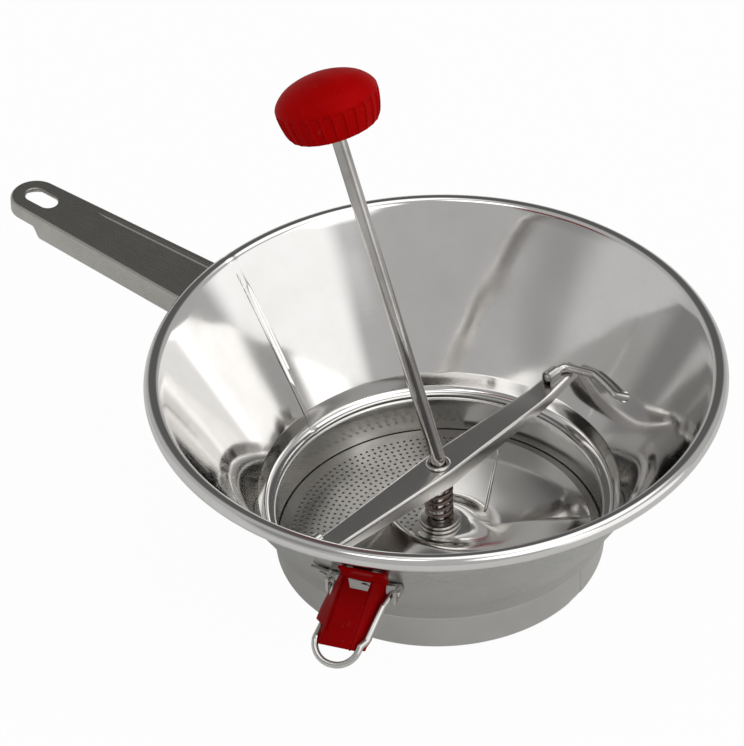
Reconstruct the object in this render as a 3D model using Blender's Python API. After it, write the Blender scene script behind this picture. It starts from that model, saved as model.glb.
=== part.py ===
"""Food mill: a steel cone on a short band, with a sieve, a sprung crank and a red latch.

Lengths are in metres and angles in degrees. The bowl's axis is upright and the band stands on z = 0.
Headings round the bowl are counted from +X; the handle points to -X.
"""
import math

import bmesh
import bpy
from mathutils import Matrix, Vector

# Shared values
GAP = 0.0003                 # clearance between pieces that touch
OVERRUN = 0.004              # how far a cutter runs past what it cuts
ROUND_STEPS = 48             # sides of the large turned pieces
SMALL_STEPS = 16             # sides of the small turned pieces
ROD_SIDES = 8                # sides of a bent rod

# Bowl
SHEET = 0.0008               # thickness of the bowl's sheet
RIM_RADIUS = 0.120
RIM_HEIGHT = 0.0918
CURL_RADIUS = 0.0036         # outer radius of the rolled rim
CURL_END = -140.0            # where the roll stops, as an angle in its section
CURL_STEPS = 8
CREASE_RADIUS = 0.0766       # outside of the line where the cone meets the flared wall
CREASE_HEIGHT = 0.0276
STEP_RADIUS = 0.0734         # outside of the flared wall at its foot
FOOT_INNER_RADIUS = 0.0696

# Band under the cone
BAND_SHEET = 0.0008
BAND_RADIUS = 0.0692
BAND_HEIGHT = 0.0191
LIP_RADIUS = 0.0726          # turned-out lip that carries the cone
SEAT_WIDTH = 0.0046          # turned-in ledge that carries the disc

# Perforated disc
DISC_THICKNESS = 0.0010
DISC_PLAY = 0.0005           # between the disc's edge and the band
SIEVE_PITCH = 0.0088         # between rings of holes and along each ring
SIEVE_HOLE_RADIUS = 0.0013
SIEVE_HOLE_SIDES = 6
SIEVE_INNER_RADIUS = 0.0175
SIEVE_BORDER = 0.0052        # plain border from the edge to the outer ring of holes

# Shaft and crank, at rest over the handle's side
ROD_RADIUS = 0.0031
ROD_TIP_HEIGHT = 0.0009
BEND_RADIUS = 0.006
BEND_RISE = 0.0012           # from the bush's top to where the rod leaves the upright
CRANK_HEADING = 172.0
CRANK_LEAN = 21.6            # of the slanted length, from the upright
RUN_GAP = 0.0004             # running clearance round the shaft

# Stack on the shaft, from the disc upwards
HUB_RADIUS = 0.0075
HUB_LENGTH = 0.0048
BLADE_SHEET = 0.0010
WASHER_THICKNESS = 0.0012
LOWER_WASHER_RADIUS = 0.0092
THRUST_WASHER_RADIUS = 0.0084
PIN_RADIUS = 0.00125
PIN_END_GAP = 0.0004         # by which the pin stays inside its hub
CUP_RADIUS = 0.0061
CUP_THICKNESS = 0.0010

# Spring
SPRING_RADIUS = 0.0053       # of the wire's centre line
SPRING_WIRE_RADIUS = 0.0008
SPRING_TURNS = 7
SPRING_TURN_POINTS = 10

# Blade
BLADE_BAND_GAP = 0.0044      # between the blade's tip and the band
COLLAR_RADIUS = 0.011        # flat middle, between the washer and the hub
SWEEP_START_RADIUS = 0.026   # where the blade has its full height
BLADE_LIFT = 0.0195          # of the leading edge over the trailing edge
BLADE_LIFT_SPAN = 150.0      # part of the sweep over which the blade climbs
BLADE_TRAILING = 120.0       # heading of the edge that wipes the disc
BLADE_SWEEP = 225.0          # from the trailing edge, clockwise seen from above
BLADE_RINGS = 6
BLADE_RAYS = 26
BLADE_DISC_GAP = 0.0004

# Crossbar
BAR_SHEET = 0.0009
BAR_TOP = 0.040
BAR_HEADING = 85.0
BAR_END_GAP = 0.00104        # between the bar's end and the wall, level with its top
BAR_MID_WIDTH = 0.0150
BAR_END_WIDTH = 0.0088
BAR_MID_DEPTH = 0.0080
BAR_END_DEPTH = 0.0036
BAR_END_RISE = 0.0030        # the ends kick up
BAR_KICK = 0.0226            # length of each end that kicks up
BUSH_FLANGE_RADIUS = 0.0052
BUSH_FLANGE = 0.0009
BUSH_WALL = 0.0008

# Arms of the crossbar
ARM_RADIUS = 0.0018
ARM_TAIL = 0.0110            # length of arm on top of the bar
ARM_TURN_RADIUS = 0.0040
ARM_WALL_GAP = 0.0006
FAR_ARM_END = 64.5
FAR_ARM_TIP = 0.0040         # beyond the wall's inner side
NEAR_ARM_END = 291.0         # under the latch's tongue
NEAR_ARM_PLAY = 0.0016       # between the near arm's end and the latch's tongue over it
ARM_TURN_HEADING = 9.0       # from the bar to where an arm has reached the wall
ARM_STEPS = 8
CLIP_SHEET = 0.0009          # saddle that holds an arm's tail on the bar
CLIP_INSET = 0.0164          # of its inner end from the bar's end
CLIP_LENGTH = 0.0080

# Handle
HANDLE_SHEET = 0.0012
HANDLE_REACH = 0.2320         # of the rounded end, from the bowl's axis
HANDLE_ROOT_HALF_WIDTH = 0.0152
HANDLE_END_HALF_WIDTH = 0.0110
HANDLE_DEPTH = 0.0112
HANDLE_END_DEPTH = 0.0062
HANDLE_RELIEF = 0.0188       # length of the shallow end
HANDLE_RELIEF_SLOPE = 0.004
HANDLE_DROP = 0.0151         # of its flat top at the rim, below the rim's top
HANDLE_RISE = 0.0048         # from the rim to the rounded end
HANDLE_END_STEPS = 12
HANG_HOLE_LENGTH = 0.0160
HANG_HOLE_WIDTH = 0.0085
HANG_HOLE_INSET = 0.0145     # of its middle from the rounded end
HANG_HOLE_STEPS = 16

# Knob
KNOB_RADIUS = 0.0217
KNOB_HEIGHT = 0.0230
KNOB_DISTANCE = 0.1520       # of its underside from the bend, along the slanted rod
KNOB_BORE_DEPTH = 0.0150
KNOB_FLUTES = 26
FLUTE_DEPTH = 0.0011
KNOB_WASHER_RADIUS = 0.0070
KNOB_WASHER_THICKNESS = 0.0012

# Latch
LATCH_HEADING = 290.0
HINGE_STANDOFF = 0.0036      # of the latch's hinge from the wall, level
HINGE_DROP = 0.0382          # below the rim's top, as the next drops are
LEVER_SHEET = 0.0009
LEVER_WIDTH = 0.0141
PAD_LENGTH = 0.0088
PAD_WIDTH = 0.0205
PAD_SHIFT = 0.0022           # of the pad's middle from the arm's, away from the handle
KNEE_DROP = 0.0300
KNEE_GAP = 0.0012            # between the knee and the wall
ARM_LENGTH = 0.0300
LATCH_LEAN = 47.0            # of the lever's arm, outwards from hanging straight
LEVER_SKEW = 6.5             # of the arm's run in its own plane, towards the handle
FLANGE_SPLAY = 15.0          # of each flange, outwards from square
FLANGE_SHARES = (0, 0.3, 1)  # places along the arm for the depths below
FLANGE_DEPTHS = (0.0050, 0.0080, 0.0065)
WINDOW_WIDTH = 0.0104
WINDOW_TOP = 0.0016          # from the knee, along the arm
WINDOW_LENGTH = 0.0048
TONGUE_WIDTH = 0.0084
TONGUE_DROP = 0.0311
TONGUE_REACH = 0.0036        # inside the wall
TONGUE_PLAY = 0.0012

# Wire loop of the latch
BAIL_RADIUS = 0.0014
BAIL_HINGE_HALF = 0.0117     # half of the loop's width at the hinge
BAIL_END_HALF = 0.0102       # and at its closed end
BAIL_TIP = 0.0084            # of the loop beyond the lever's end
BAIL_END_DEPTH = 0.0030      # of the loop's end behind the lever's web
BAIL_LUG_END = 0.0155
BAIL_KNUCKLE = 0.0018        # bend radius at the hinge
BAIL_BOW = 0.0094            # bend radius of the loop's end

# Strap that holds the latch
STRAP_START = 276.0
STRAP_END = 299.5
STRAP_LOW_DROP = 0.0428
STRAP_HIGH_DROP = 0.0346
STRAP_THICKNESS = 0.0010
STRAP_STEPS = 8
LUG_THICKNESS = 0.0012
LUG_INSET = 0.0137           # of a lug's inner side from the latch's middle
LUG_MARGIN = 0.0016          # of lug round its hole
STRAP_RIVET_RADIUS = 0.0013
STRAP_RIVET_HEAD = 0.0024
STRAP_RIVET_HEAD_HEIGHT = 0.0007
STRAP_RIVET_INSET = 2.5      # of a rivet from the strap's end, in degrees of heading

# Colours: red, green, blue, roughness, metallic
FINISHES = {
    "polished_steel": (0.66, 0.65, 0.64, 0.12, 1.0),
    "satin_steel": (0.50, 0.49, 0.47, 0.32, 1.0),
    "dark_steel": (0.16, 0.14, 0.13, 0.40, 1.0),
    "red_paint": (0.42, 0.004, 0.010, 0.30, 0.0),
    "red_plastic": (0.55, 0.006, 0.010, 0.28, 0.0),
}

# Heights and radii that follow from the values above
CURL_CENTRE = (RIM_RADIUS - CURL_RADIUS, RIM_HEIGHT - CURL_RADIUS)
CURL_OUT = CURL_CENTRE[0] - CREASE_RADIUS
CURL_UP = CURL_CENTRE[1] - CREASE_HEIGHT
# The wall runs into the roll without a kink, so it passes the roll's centre at the roll's radius
WALL_LEAN = math.atan2(CURL_OUT, CURL_UP) - math.asin((CURL_RADIUS - SHEET) / math.hypot(CURL_OUT, CURL_UP))
CONE_SLOPE = math.tan(WALL_LEAN)
WALL_SPAN = SHEET / math.cos(WALL_LEAN)      # the wall's thickness, measured level
FOOT_HEIGHT = BAND_HEIGHT + GAP
BAND_INNER_RADIUS = BAND_RADIUS - BAND_SHEET
DISC_RADIUS = BAND_INNER_RADIUS - DISC_PLAY
BLADE_RADIUS = BAND_INNER_RADIUS - BLADE_BAND_GAP
DISC_LOW = BAND_SHEET + GAP
DISC_TOP = DISC_LOW + DISC_THICKNESS
HUB_LOW = DISC_TOP + RUN_GAP
HUB_TOP = HUB_LOW + HUB_LENGTH
COLLAR_LOW = HUB_TOP + GAP
LOWER_WASHER_LOW = COLLAR_LOW + BLADE_SHEET + GAP
THRUST_WASHER_LOW = LOWER_WASHER_LOW + WASHER_THICKNESS + GAP
SPRING_LOW = THRUST_WASHER_LOW + WASHER_THICKNESS + GAP
BAR_HALF_LENGTH = CREASE_RADIUS - WALL_SPAN + CONE_SLOPE * (BAR_TOP - CREASE_HEIGHT) - BAR_END_GAP
BAR_RISE_START = BAR_HALF_LENGTH - BAR_KICK
CLIP_START = BAR_HALF_LENGTH - CLIP_INSET
BEND_HEIGHT = BAR_TOP + GAP + BUSH_FLANGE + BEND_RISE
CUP_TOP = BAR_TOP - BAR_SHEET - GAP
CUP_LOW = CUP_TOP - CUP_THICKNESS
ARM_HEIGHT = BAR_TOP + BAR_END_RISE + GAP + ARM_RADIUS
SPRING_HIGH = CUP_LOW - GAP
SHAFT_BORE = ROD_RADIUS + RUN_GAP
HANDLE_TOP = RIM_HEIGHT - HANDLE_DROP
HINGE_HEIGHT = RIM_HEIGHT - HINGE_DROP
HINGE_RADIUS = CREASE_RADIUS + CONE_SLOPE * (HINGE_HEIGHT - CREASE_HEIGHT) + HINGE_STANDOFF
KNEE_HEIGHT = RIM_HEIGHT - KNEE_DROP
TONGUE_HEIGHT = RIM_HEIGHT - TONGUE_DROP
STRAP_LOW = RIM_HEIGHT - STRAP_LOW_DROP
STRAP_HIGH = RIM_HEIGHT - STRAP_HIGH_DROP
NEAR_ARM_CLIMB = TONGUE_HEIGHT - NEAR_ARM_PLAY - ARM_RADIUS - ARM_HEIGHT
AXIS_X = (HANDLE_REACH - RIM_RADIUS) / 2


def wall_outer(height):
    """Outer radius of the cone at a height."""
    return CREASE_RADIUS + CONE_SLOPE * (height - CREASE_HEIGHT)


def wall_inner(height):
    return wall_outer(height) - WALL_SPAN


def polar(radius, heading, height):
    angle = math.radians(heading)
    return Vector((radius * math.cos(angle), radius * math.sin(angle), height))


def outward(heading):
    return polar(1, heading, 0)


def wall_normal(heading):
    """Outward normal of the cone's wall, which leans down."""
    side = outward(heading) * math.cos(WALL_LEAN)
    return Vector((side.x, side.y, -math.sin(WALL_LEAN)))


# Materials and objects

def finish(name):
    material = bpy.data.materials.get(name)
    if material:
        return material
    red, green, blue, roughness, metallic = FINISHES[name]
    material = bpy.data.materials.new(name)
    material.use_nodes = True
    shader = material.node_tree.nodes["Principled BSDF"]
    shader.inputs["Base Color"].default_value = (red, green, blue, 1)
    shader.inputs["Roughness"].default_value = roughness
    shader.inputs["Metallic"].default_value = metallic
    return material


def piece(name, shape, surface=None, smooth=True):
    """An object from a bmesh, with its faces turned outwards."""
    bmesh.ops.recalc_face_normals(shape, faces=shape.faces)
    mesh = bpy.data.meshes.new(name)
    shape.to_mesh(mesh)
    shape.free()
    made = bpy.data.objects.new(name, mesh)
    bpy.context.scene.collection.objects.link(made)
    if surface:
        mesh.materials.append(finish(surface))
        if smooth:
            mesh.shade_smooth()
            mesh.set_sharp_from_angle(angle=math.radians(35))
    else:
        made.hide_render = True
        made.display_type = "WIRE"
    return made


def combine(target, other, operation):
    modifier = target.modifiers.new(other.name, "BOOLEAN")
    modifier.operation = operation
    modifier.solver = "EXACT"
    modifier.object = other


def cut(target, *cutters):
    for cutter in cutters:
        combine(target, cutter, "DIFFERENCE")


def frame_at(origin, x_axis, z_axis):
    """A matrix whose columns are a place and its three directions."""
    z_axis = z_axis.normalized()
    x_axis = (x_axis - z_axis * x_axis.dot(z_axis)).normalized()
    y_axis = z_axis.cross(x_axis)
    turn = Matrix((x_axis, y_axis, z_axis)).transposed().to_4x4()
    return Matrix.Translation(origin) @ turn


# Shapes

def turned(outline, steps, closed=True, flute=None):
    """A solid of revolution. An open outline starts and ends on the axis."""
    shape = bmesh.new()
    rings = []
    for radius, height in outline:
        if radius == 0:
            rings.append([shape.verts.new((0, 0, height))])
            continue
        ring = []
        for step in range(steps):
            reach = radius - (flute(height) if flute and step % 2 else 0)
            ring.append(shape.verts.new(polar(reach, 360 * step / steps, height)))
        rings.append(ring)
    pairs = list(zip(rings, rings[1:]))
    if closed:
        pairs.append((rings[-1], rings[0]))
    for lower, upper in pairs:
        for step in range(steps):
            after = (step + 1) % steps
            if len(lower) == 1:
                shape.faces.new((lower[0], upper[after], upper[step]))
            elif len(upper) == 1:
                shape.faces.new((lower[step], lower[after], upper[0]))
            else:
                shape.faces.new((lower[step], lower[after], upper[after], upper[step]))
    return shape


def washer_outline(inner, outer, low, high):
    return [(inner, low), (outer, low), (outer, high), (inner, high)]


def lofted(sections, cap_quads=None):
    """Joins closed rings of points into a solid. Cap quads are rings' point numbers."""
    shape = bmesh.new()
    rings = [[shape.verts.new(point) for point in section] for section in sections]
    count = len(rings[0])
    for lower, upper in zip(rings, rings[1:]):
        for step in range(count):
            after = (step + 1) % count
            shape.faces.new((lower[step], lower[after], upper[after], upper[step]))
    quads = cap_quads or [tuple(range(count))]
    for ring in (rings[0], rings[-1]):
        for quad in quads:
            shape.faces.new([ring[index] for index in quad])
    return shape


def prism(outline, low, high):
    """A flat outline in X and Y, raised from low to high."""
    return lofted([[Vector((x, y, height)) for x, y in outline] for height in (low, high)])


def block(corner_low, corner_high):
    (x0, y0, z0), (x1, y1, z1) = corner_low, corner_high
    return prism([(x0, y0), (x1, y0), (x1, y1), (x0, y1)], z0, z1)


def bend(corners, radii, steps):
    """A path through corners, each inner corner rounded to its radius."""
    path = [corners[0]]
    for before, corner, after, radius in zip(corners, corners[1:], corners[2:], radii):
        into = (corner - before).normalized()
        out = (after - corner).normalized()
        turn = into.angle(out)
        inset = radius * math.tan(turn / 2)
        start = corner - into * inset
        side = (out - into * into.dot(out)).normalized()
        centre = start + side * radius
        for step in range(steps + 1):
            angle = turn * step / steps
            path.append(centre - side * radius * math.cos(angle) + into * radius * math.sin(angle))
    path.append(corners[-1])
    return path


def tube(path, radius, sides, end_radius=None):
    """A round rod along a path, its rings carried on without twist."""
    tangents = []
    for index in range(len(path)):
        ahead = path[min(index + 1, len(path) - 1)]
        behind = path[max(index - 1, 0)]
        tangents.append((ahead - behind).normalized())
    across = tangents[0].orthogonal().normalized()
    sections = []
    for index, (point, tangent) in enumerate(zip(path, tangents)):
        across = (across - tangent * across.dot(tangent)).normalized()
        other = tangent.cross(across)
        reach = end_radius if end_radius and index in (0, len(path) - 1) else radius
        ring = []
        for step in range(sides):
            angle = math.tau * step / sides
            ring.append(point + (across * math.cos(angle) + other * math.sin(angle)) * reach)
        sections.append(ring)
    return lofted(sections)


def rivet(name, place, direction, radius, head_radius, head_height, head_back, tail, surface):
    """A rivet along a direction: its head at one end, its plain shank to the other."""
    outline = [
        (0, head_back),
        (head_radius, head_back),
        (head_radius * 0.8, head_back + head_height * 0.7),
        (0, head_back + head_height),
    ]
    outline = [(0, tail), (radius, tail), (radius, head_back)] + outline[1:]
    made = piece(name, turned(outline, ROD_SIDES, closed=False), surface)
    made.matrix_world = frame_at(place, Vector((0, 0, 1)).cross(direction), direction)
    return made


def drill(name, place, direction, radius, before, after):
    """A round cutter along a direction."""
    shape = turned([(0, -before), (radius, -before), (radius, after), (0, after)],
                   SMALL_STEPS, closed=False)
    made = piece(name, shape)
    made.matrix_world = frame_at(place, Vector((0, 0, 1)).cross(direction), direction)
    return made


# Bowl

def curl_arc(radius):
    points = []
    start = 180 - math.degrees(WALL_LEAN)
    for step in range(CURL_STEPS + 1):
        angle = math.radians(start + (CURL_END - start) * step / CURL_STEPS)
        points.append((CURL_CENTRE[0] + radius * math.cos(angle),
                       CURL_CENTRE[1] + radius * math.sin(angle)))
    return points


def make_bowl():
    """The cone with its flared wall, its turned-in foot and its rolled rim."""
    inside = [
        (FOOT_INNER_RADIUS, FOOT_HEIGHT + SHEET),
        (STEP_RADIUS - SHEET, FOOT_HEIGHT + SHEET),
        (CREASE_RADIUS - WALL_SPAN, CREASE_HEIGHT),
    ]
    outside = [
        (CREASE_RADIUS, CREASE_HEIGHT),
        (STEP_RADIUS, FOOT_HEIGHT),
        (FOOT_INNER_RADIUS, FOOT_HEIGHT),
    ]
    roll = curl_arc(CURL_RADIUS) + curl_arc(CURL_RADIUS - SHEET)[::-1]
    return piece("bowl_cone", turned(inside + roll + outside, ROUND_STEPS), "polished_steel")


def make_rim_wire():
    wire_radius = CURL_RADIUS - SHEET - 2 * GAP
    outline = []
    for step in range(ROD_SIDES):
        angle = math.tau * step / ROD_SIDES
        outline.append((CURL_CENTRE[0] + wire_radius * math.cos(angle),
                        CURL_CENTRE[1] + wire_radius * math.sin(angle)))
    piece("rim_wire", turned(outline, ROUND_STEPS), "satin_steel")


def make_band():
    outline = [
        (BAND_RADIUS - SEAT_WIDTH, 0),
        (BAND_RADIUS, 0),
        (BAND_RADIUS, BAND_HEIGHT - BAND_SHEET),
        (LIP_RADIUS, BAND_HEIGHT - BAND_SHEET),
        (LIP_RADIUS, BAND_HEIGHT),
        (BAND_INNER_RADIUS, BAND_HEIGHT),
        (BAND_INNER_RADIUS, BAND_SHEET),
        (BAND_RADIUS - SEAT_WIDTH, BAND_SHEET),
    ]
    piece("base_band", turned(outline, ROUND_STEPS), "satin_steel")


def make_disc():
    """The sieve: rings of holes, each ring turned half a step from the one inside it."""
    disc = piece("perforated_disc",
                 turned(washer_outline(SHAFT_BORE, DISC_RADIUS, DISC_LOW, DISC_TOP), ROUND_STEPS),
                 "satin_steel")
    holes = bmesh.new()
    outer_ring = DISC_RADIUS - SIEVE_BORDER
    ring_count = int((outer_ring - SIEVE_INNER_RADIUS) / SIEVE_PITCH) + 1
    ring_step = (outer_ring - SIEVE_INNER_RADIUS) / max(ring_count - 1, 1)
    for ring in range(ring_count):
        radius = SIEVE_INNER_RADIUS + ring * ring_step
        count = int(math.tau * radius / SIEVE_PITCH)
        for index in range(count):
            middle = polar(radius, 360 * (index + ring % 2 / 2) / count, 0)
            corners = []
            for side in range(SIEVE_HOLE_SIDES):
                corner = polar(SIEVE_HOLE_RADIUS, 360 * side / SIEVE_HOLE_SIDES, 0) + middle
                corners.append((corner.x, corner.y))
            rings = []
            for height in (DISC_LOW - OVERRUN, DISC_TOP + OVERRUN):
                rings.append([holes.verts.new((x, y, height)) for x, y in corners])
            holes.faces.new(rings[0])
            holes.faces.new(rings[1])
            for side in range(SIEVE_HOLE_SIDES):
                after = (side + 1) % SIEVE_HOLE_SIDES
                holes.faces.new((rings[0][side], rings[0][after], rings[1][after], rings[1][side]))
    cut(disc, piece("sieve_holes", holes))


# Crossbar and its arms

def bar_top(along):
    """Height of the bar's top; its ends kick up."""
    share = (abs(along) - BAR_RISE_START) / (BAR_HALF_LENGTH - BAR_RISE_START)
    return BAR_TOP + BAR_END_RISE * max(0, share)


def channel(along, top, half_width, depth, sheet):
    """Section of a channel open downwards, with its X along the piece."""
    low = top - depth
    under = top - sheet
    inner = half_width - sheet
    across = [(-half_width, top), (-half_width, low), (-inner, low), (-inner, under),
              (inner, under), (inner, low), (half_width, low), (half_width, top)]
    return [Vector((along, y, z)) for y, z in across]


CHANNEL_CAPS = [(0, 1, 2, 3), (0, 3, 4, 7), (4, 5, 6, 7)]


def bar_place():
    return Matrix.Rotation(math.radians(BAR_HEADING), 4, "Z")


def make_crossbar():
    sections = []
    for along in (-BAR_HALF_LENGTH, -BAR_RISE_START, 0, BAR_RISE_START, BAR_HALF_LENGTH):
        share = 1 - abs(along) / BAR_HALF_LENGTH
        width = BAR_END_WIDTH + (BAR_MID_WIDTH - BAR_END_WIDTH) * share
        depth = BAR_END_DEPTH + (BAR_MID_DEPTH - BAR_END_DEPTH) * share
        sections.append(channel(along, bar_top(along), width / 2, depth, BAR_SHEET))
    bar = piece("crossbar", lofted(sections, CHANNEL_CAPS), "satin_steel")
    bar.matrix_world = bar_place()
    shaft_hole = piece("bush_hole", turned(
        [(0, BAR_TOP - OVERRUN), (SHAFT_BORE + BUSH_WALL + GAP, BAR_TOP - OVERRUN),
         (SHAFT_BORE + BUSH_WALL + GAP, BAR_TOP + OVERRUN), (0, BAR_TOP + OVERRUN)],
        SMALL_STEPS, closed=False))
    cut(bar, shaft_hole)

    bush = [
        (SHAFT_BORE, CUP_TOP + GAP),
        (SHAFT_BORE + BUSH_WALL, CUP_TOP + GAP),
        (SHAFT_BORE + BUSH_WALL, BAR_TOP + GAP),
        (BUSH_FLANGE_RADIUS, BAR_TOP + GAP),
        (BUSH_FLANGE_RADIUS, BAR_TOP + GAP + BUSH_FLANGE),
        (SHAFT_BORE, BAR_TOP + GAP + BUSH_FLANGE),
    ]
    piece("shaft_bush", turned(bush, SMALL_STEPS), "satin_steel")


def arm_path(end, end_heading, climb):
    """The arm's way: on top of the bar, a turn towards the wall, then along the wall."""
    start_heading = BAR_HEADING if end > 0 else BAR_HEADING + 180
    turn = -1 if end > 0 else 1
    turn_radius = BAR_HALF_LENGTH - ARM_TURN_RADIUS
    corner = polar(turn_radius, start_heading, ARM_HEIGHT)
    tail = polar(turn_radius - ARM_TAIL, start_heading, ARM_HEIGHT)
    wall_start = start_heading + turn * ARM_TURN_HEADING
    wall_points = []
    for step in range(ARM_STEPS + 1):
        share = step / ARM_STEPS
        heading = wall_start + (end_heading - wall_start) * share
        height = ARM_HEIGHT + climb * share
        wall_points.append(polar(wall_inner(height) - ARM_WALL_GAP - ARM_RADIUS, heading, height))
    return bend([tail, corner, wall_points[0]], [ARM_TURN_RADIUS], ARM_STEPS // 2)[:-1] + wall_points


def make_arms(bowl):
    far = arm_path(1, FAR_ARM_END, 0)
    tip = polar(wall_inner(ARM_HEIGHT) + FAR_ARM_TIP, FAR_ARM_END - ARM_STEPS / 2, ARM_HEIGHT)
    far_path = far[:-1] + bend([far[-2], far[-1], tip], [ARM_TURN_RADIUS / 2], ARM_STEPS // 2)[1:]
    piece("arm_far", tube(far_path, ARM_RADIUS, ROD_SIDES), "satin_steel")
    along = tip - far[-1]
    cut(bowl, drill("arm_hole", tip, along.normalized(), ARM_RADIUS + 2 * GAP, along.length, OVERRUN))
    near_path = arm_path(-1, NEAR_ARM_END, NEAR_ARM_CLIMB)
    piece("arm_near", tube(near_path, ARM_RADIUS, ROD_SIDES), "satin_steel")

    top = ARM_HEIGHT + ARM_RADIUS + GAP + CLIP_SHEET
    half = ARM_RADIUS + GAP + CLIP_SHEET
    for end, name in ((1, "arm_clip_far"), (-1, "arm_clip_near")):
        sections = []
        for along in (end * CLIP_START, end * (CLIP_START + CLIP_LENGTH)):
            sections.append(channel(along, top, half, top - bar_top(along) - GAP, CLIP_SHEET))
        clip = piece(name, lofted(sections, CHANNEL_CAPS), "satin_steel")
        clip.matrix_world = bar_place()


# Handle

def handle_outline(shrink, root, end_trim):
    """Plan of the handle from its root to its rounded end, along +X."""
    end_middle = HANDLE_REACH - HANDLE_END_HALF_WIDTH
    root_half = HANDLE_ROOT_HALF_WIDTH - shrink
    end_half = HANDLE_END_HALF_WIDTH - shrink
    points = [(root, -root_half)]
    for step in range(HANDLE_END_STEPS + 1):
        angle = math.pi * (step / HANDLE_END_STEPS - 0.5)
        points.append((end_middle + (end_half - end_trim) * math.cos(angle),
                       end_half * math.sin(angle)))
    points.append((root, root_half))
    return points


def handle_place():
    """Turns +X to -X, lifts the handle to its height and gives it its slope."""
    slope = math.atan(HANDLE_RISE / (HANDLE_REACH - RIM_RADIUS))
    lift = Matrix.Translation(polar(RIM_RADIUS, 180, HANDLE_TOP))
    half_turn = Matrix.Rotation(math.pi, 4, "Z")
    tilt = Matrix.Rotation(-slope, 4, "Y")
    return lift @ half_turn @ tilt @ Matrix.Translation((-RIM_RADIUS, 0, 0))


def cone_cutter(name, clearance):
    """The bowl's outside as a solid, larger all round by a clearance."""
    side = clearance / math.cos(WALL_LEAN)
    low = -OVERRUN
    high = RIM_HEIGHT + OVERRUN
    outline = [(0, low), (wall_outer(low) + side, low), (wall_outer(high) + side, high), (0, high)]
    return piece(name, turned(outline, ROUND_STEPS, closed=False))


def make_handle():
    root = wall_outer(HANDLE_TOP - HANDLE_DEPTH) - HANDLE_DEPTH
    handle = piece("handle", prism(handle_outline(0, root, 0), -HANDLE_DEPTH, 0), "satin_steel")
    handle.matrix_world = handle_place()
    hollow = piece("handle_hollow", prism(handle_outline(HANDLE_SHEET, root, 0),
                                          -HANDLE_DEPTH - OVERRUN, -HANDLE_SHEET))
    hollow.matrix_world = handle_place()
    cut(hollow, cone_cutter("end_wall_shape", GAP + HANDLE_SHEET))
    relief_start = HANDLE_REACH - HANDLE_RELIEF
    side = HANDLE_ROOT_HALF_WIDTH + OVERRUN
    relief_outline = [
        (relief_start - HANDLE_RELIEF_SLOPE, -HANDLE_DEPTH),
        (relief_start, -HANDLE_END_DEPTH),
        (HANDLE_REACH + OVERRUN, -HANDLE_END_DEPTH),
        (HANDLE_REACH + OVERRUN, -HANDLE_DEPTH - OVERRUN),
        (relief_start - HANDLE_RELIEF_SLOPE, -HANDLE_DEPTH - OVERRUN),
    ]
    relief = piece("handle_relief", lofted(
        [[Vector((x, y, z)) for x, z in relief_outline] for y in (-side, side)]))
    relief.matrix_world = handle_place()
    hole_points = []
    straight = (HANG_HOLE_LENGTH - HANG_HOLE_WIDTH) / 2
    for step in range(HANG_HOLE_STEPS):
        angle = math.tau * (step + 0.5) / HANG_HOLE_STEPS
        shift = math.copysign(straight, math.cos(angle))
        hole_points.append((HANDLE_REACH - HANG_HOLE_INSET + shift + HANG_HOLE_WIDTH / 2 * math.cos(angle),
                            HANG_HOLE_WIDTH / 2 * math.sin(angle)))
    hole = piece("hang_hole", prism(hole_points, -HANDLE_DEPTH, OVERRUN))
    hole.matrix_world = handle_place()
    cut(handle, hollow, cone_cutter("wall_shape", GAP), relief, hole)


# Crank, knob and what turns or slides with them

def crank_direction():
    lean = math.radians(CRANK_LEAN)
    side = outward(CRANK_HEADING) * math.sin(lean)
    return Vector((side.x, side.y, math.cos(lean)))


def crank_corner():
    """Where the rod's upright and slanted lengths would meet."""
    return Vector((0, 0, BEND_HEIGHT + BEND_RADIUS * math.tan(math.radians(CRANK_LEAN) / 2)))


def knob_place():
    base = crank_corner() + crank_direction() * KNOB_DISTANCE
    return frame_at(base, outward(CRANK_HEADING + 90), crank_direction())


def make_crank():
    corner = crank_corner()
    top = corner + crank_direction() * (KNOB_DISTANCE + KNOB_BORE_DEPTH - 2 * RUN_GAP)
    path = bend([Vector((0, 0, ROD_TIP_HEIGHT)), corner, top], [BEND_RADIUS], 4)
    rod = piece("crank_rod", tube(path, ROD_RADIUS, SMALL_STEPS // 4 * 3), "polished_steel")

    hub = piece("blade_hub", turned(washer_outline(SHAFT_BORE, HUB_RADIUS, HUB_LOW, HUB_TOP),
                                    SMALL_STEPS), "satin_steel")
    pin_height = (HUB_LOW + HUB_TOP) / 2
    pin_half = HUB_RADIUS * math.cos(math.pi / SMALL_STEPS) - PIN_END_GAP
    pin_path = [polar(pin_half, CRANK_HEADING, pin_height), polar(pin_half, CRANK_HEADING + 180, pin_height)]
    piece("hub_pin", tube(pin_path, PIN_RADIUS, ROD_SIDES), "satin_steel")
    pin_hole = drill("pin_hole", Vector((0, 0, pin_height)), outward(CRANK_HEADING),
                     PIN_RADIUS + GAP, HUB_RADIUS + OVERRUN, HUB_RADIUS + OVERRUN)
    cut(rod, pin_hole)
    cut(hub, pin_hole)

    piece("lower_washer", turned(washer_outline(
        SHAFT_BORE, LOWER_WASHER_RADIUS, LOWER_WASHER_LOW, LOWER_WASHER_LOW + WASHER_THICKNESS),
        SMALL_STEPS), "satin_steel")
    piece("thrust_washer", turned(washer_outline(
        SHAFT_BORE, THRUST_WASHER_RADIUS, THRUST_WASHER_LOW, THRUST_WASHER_LOW + WASHER_THICKNESS),
        SMALL_STEPS), "satin_steel")
    piece("spring_cup", turned(washer_outline(
        SHAFT_BORE, CUP_RADIUS, CUP_LOW, CUP_TOP), SMALL_STEPS), "satin_steel")


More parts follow.
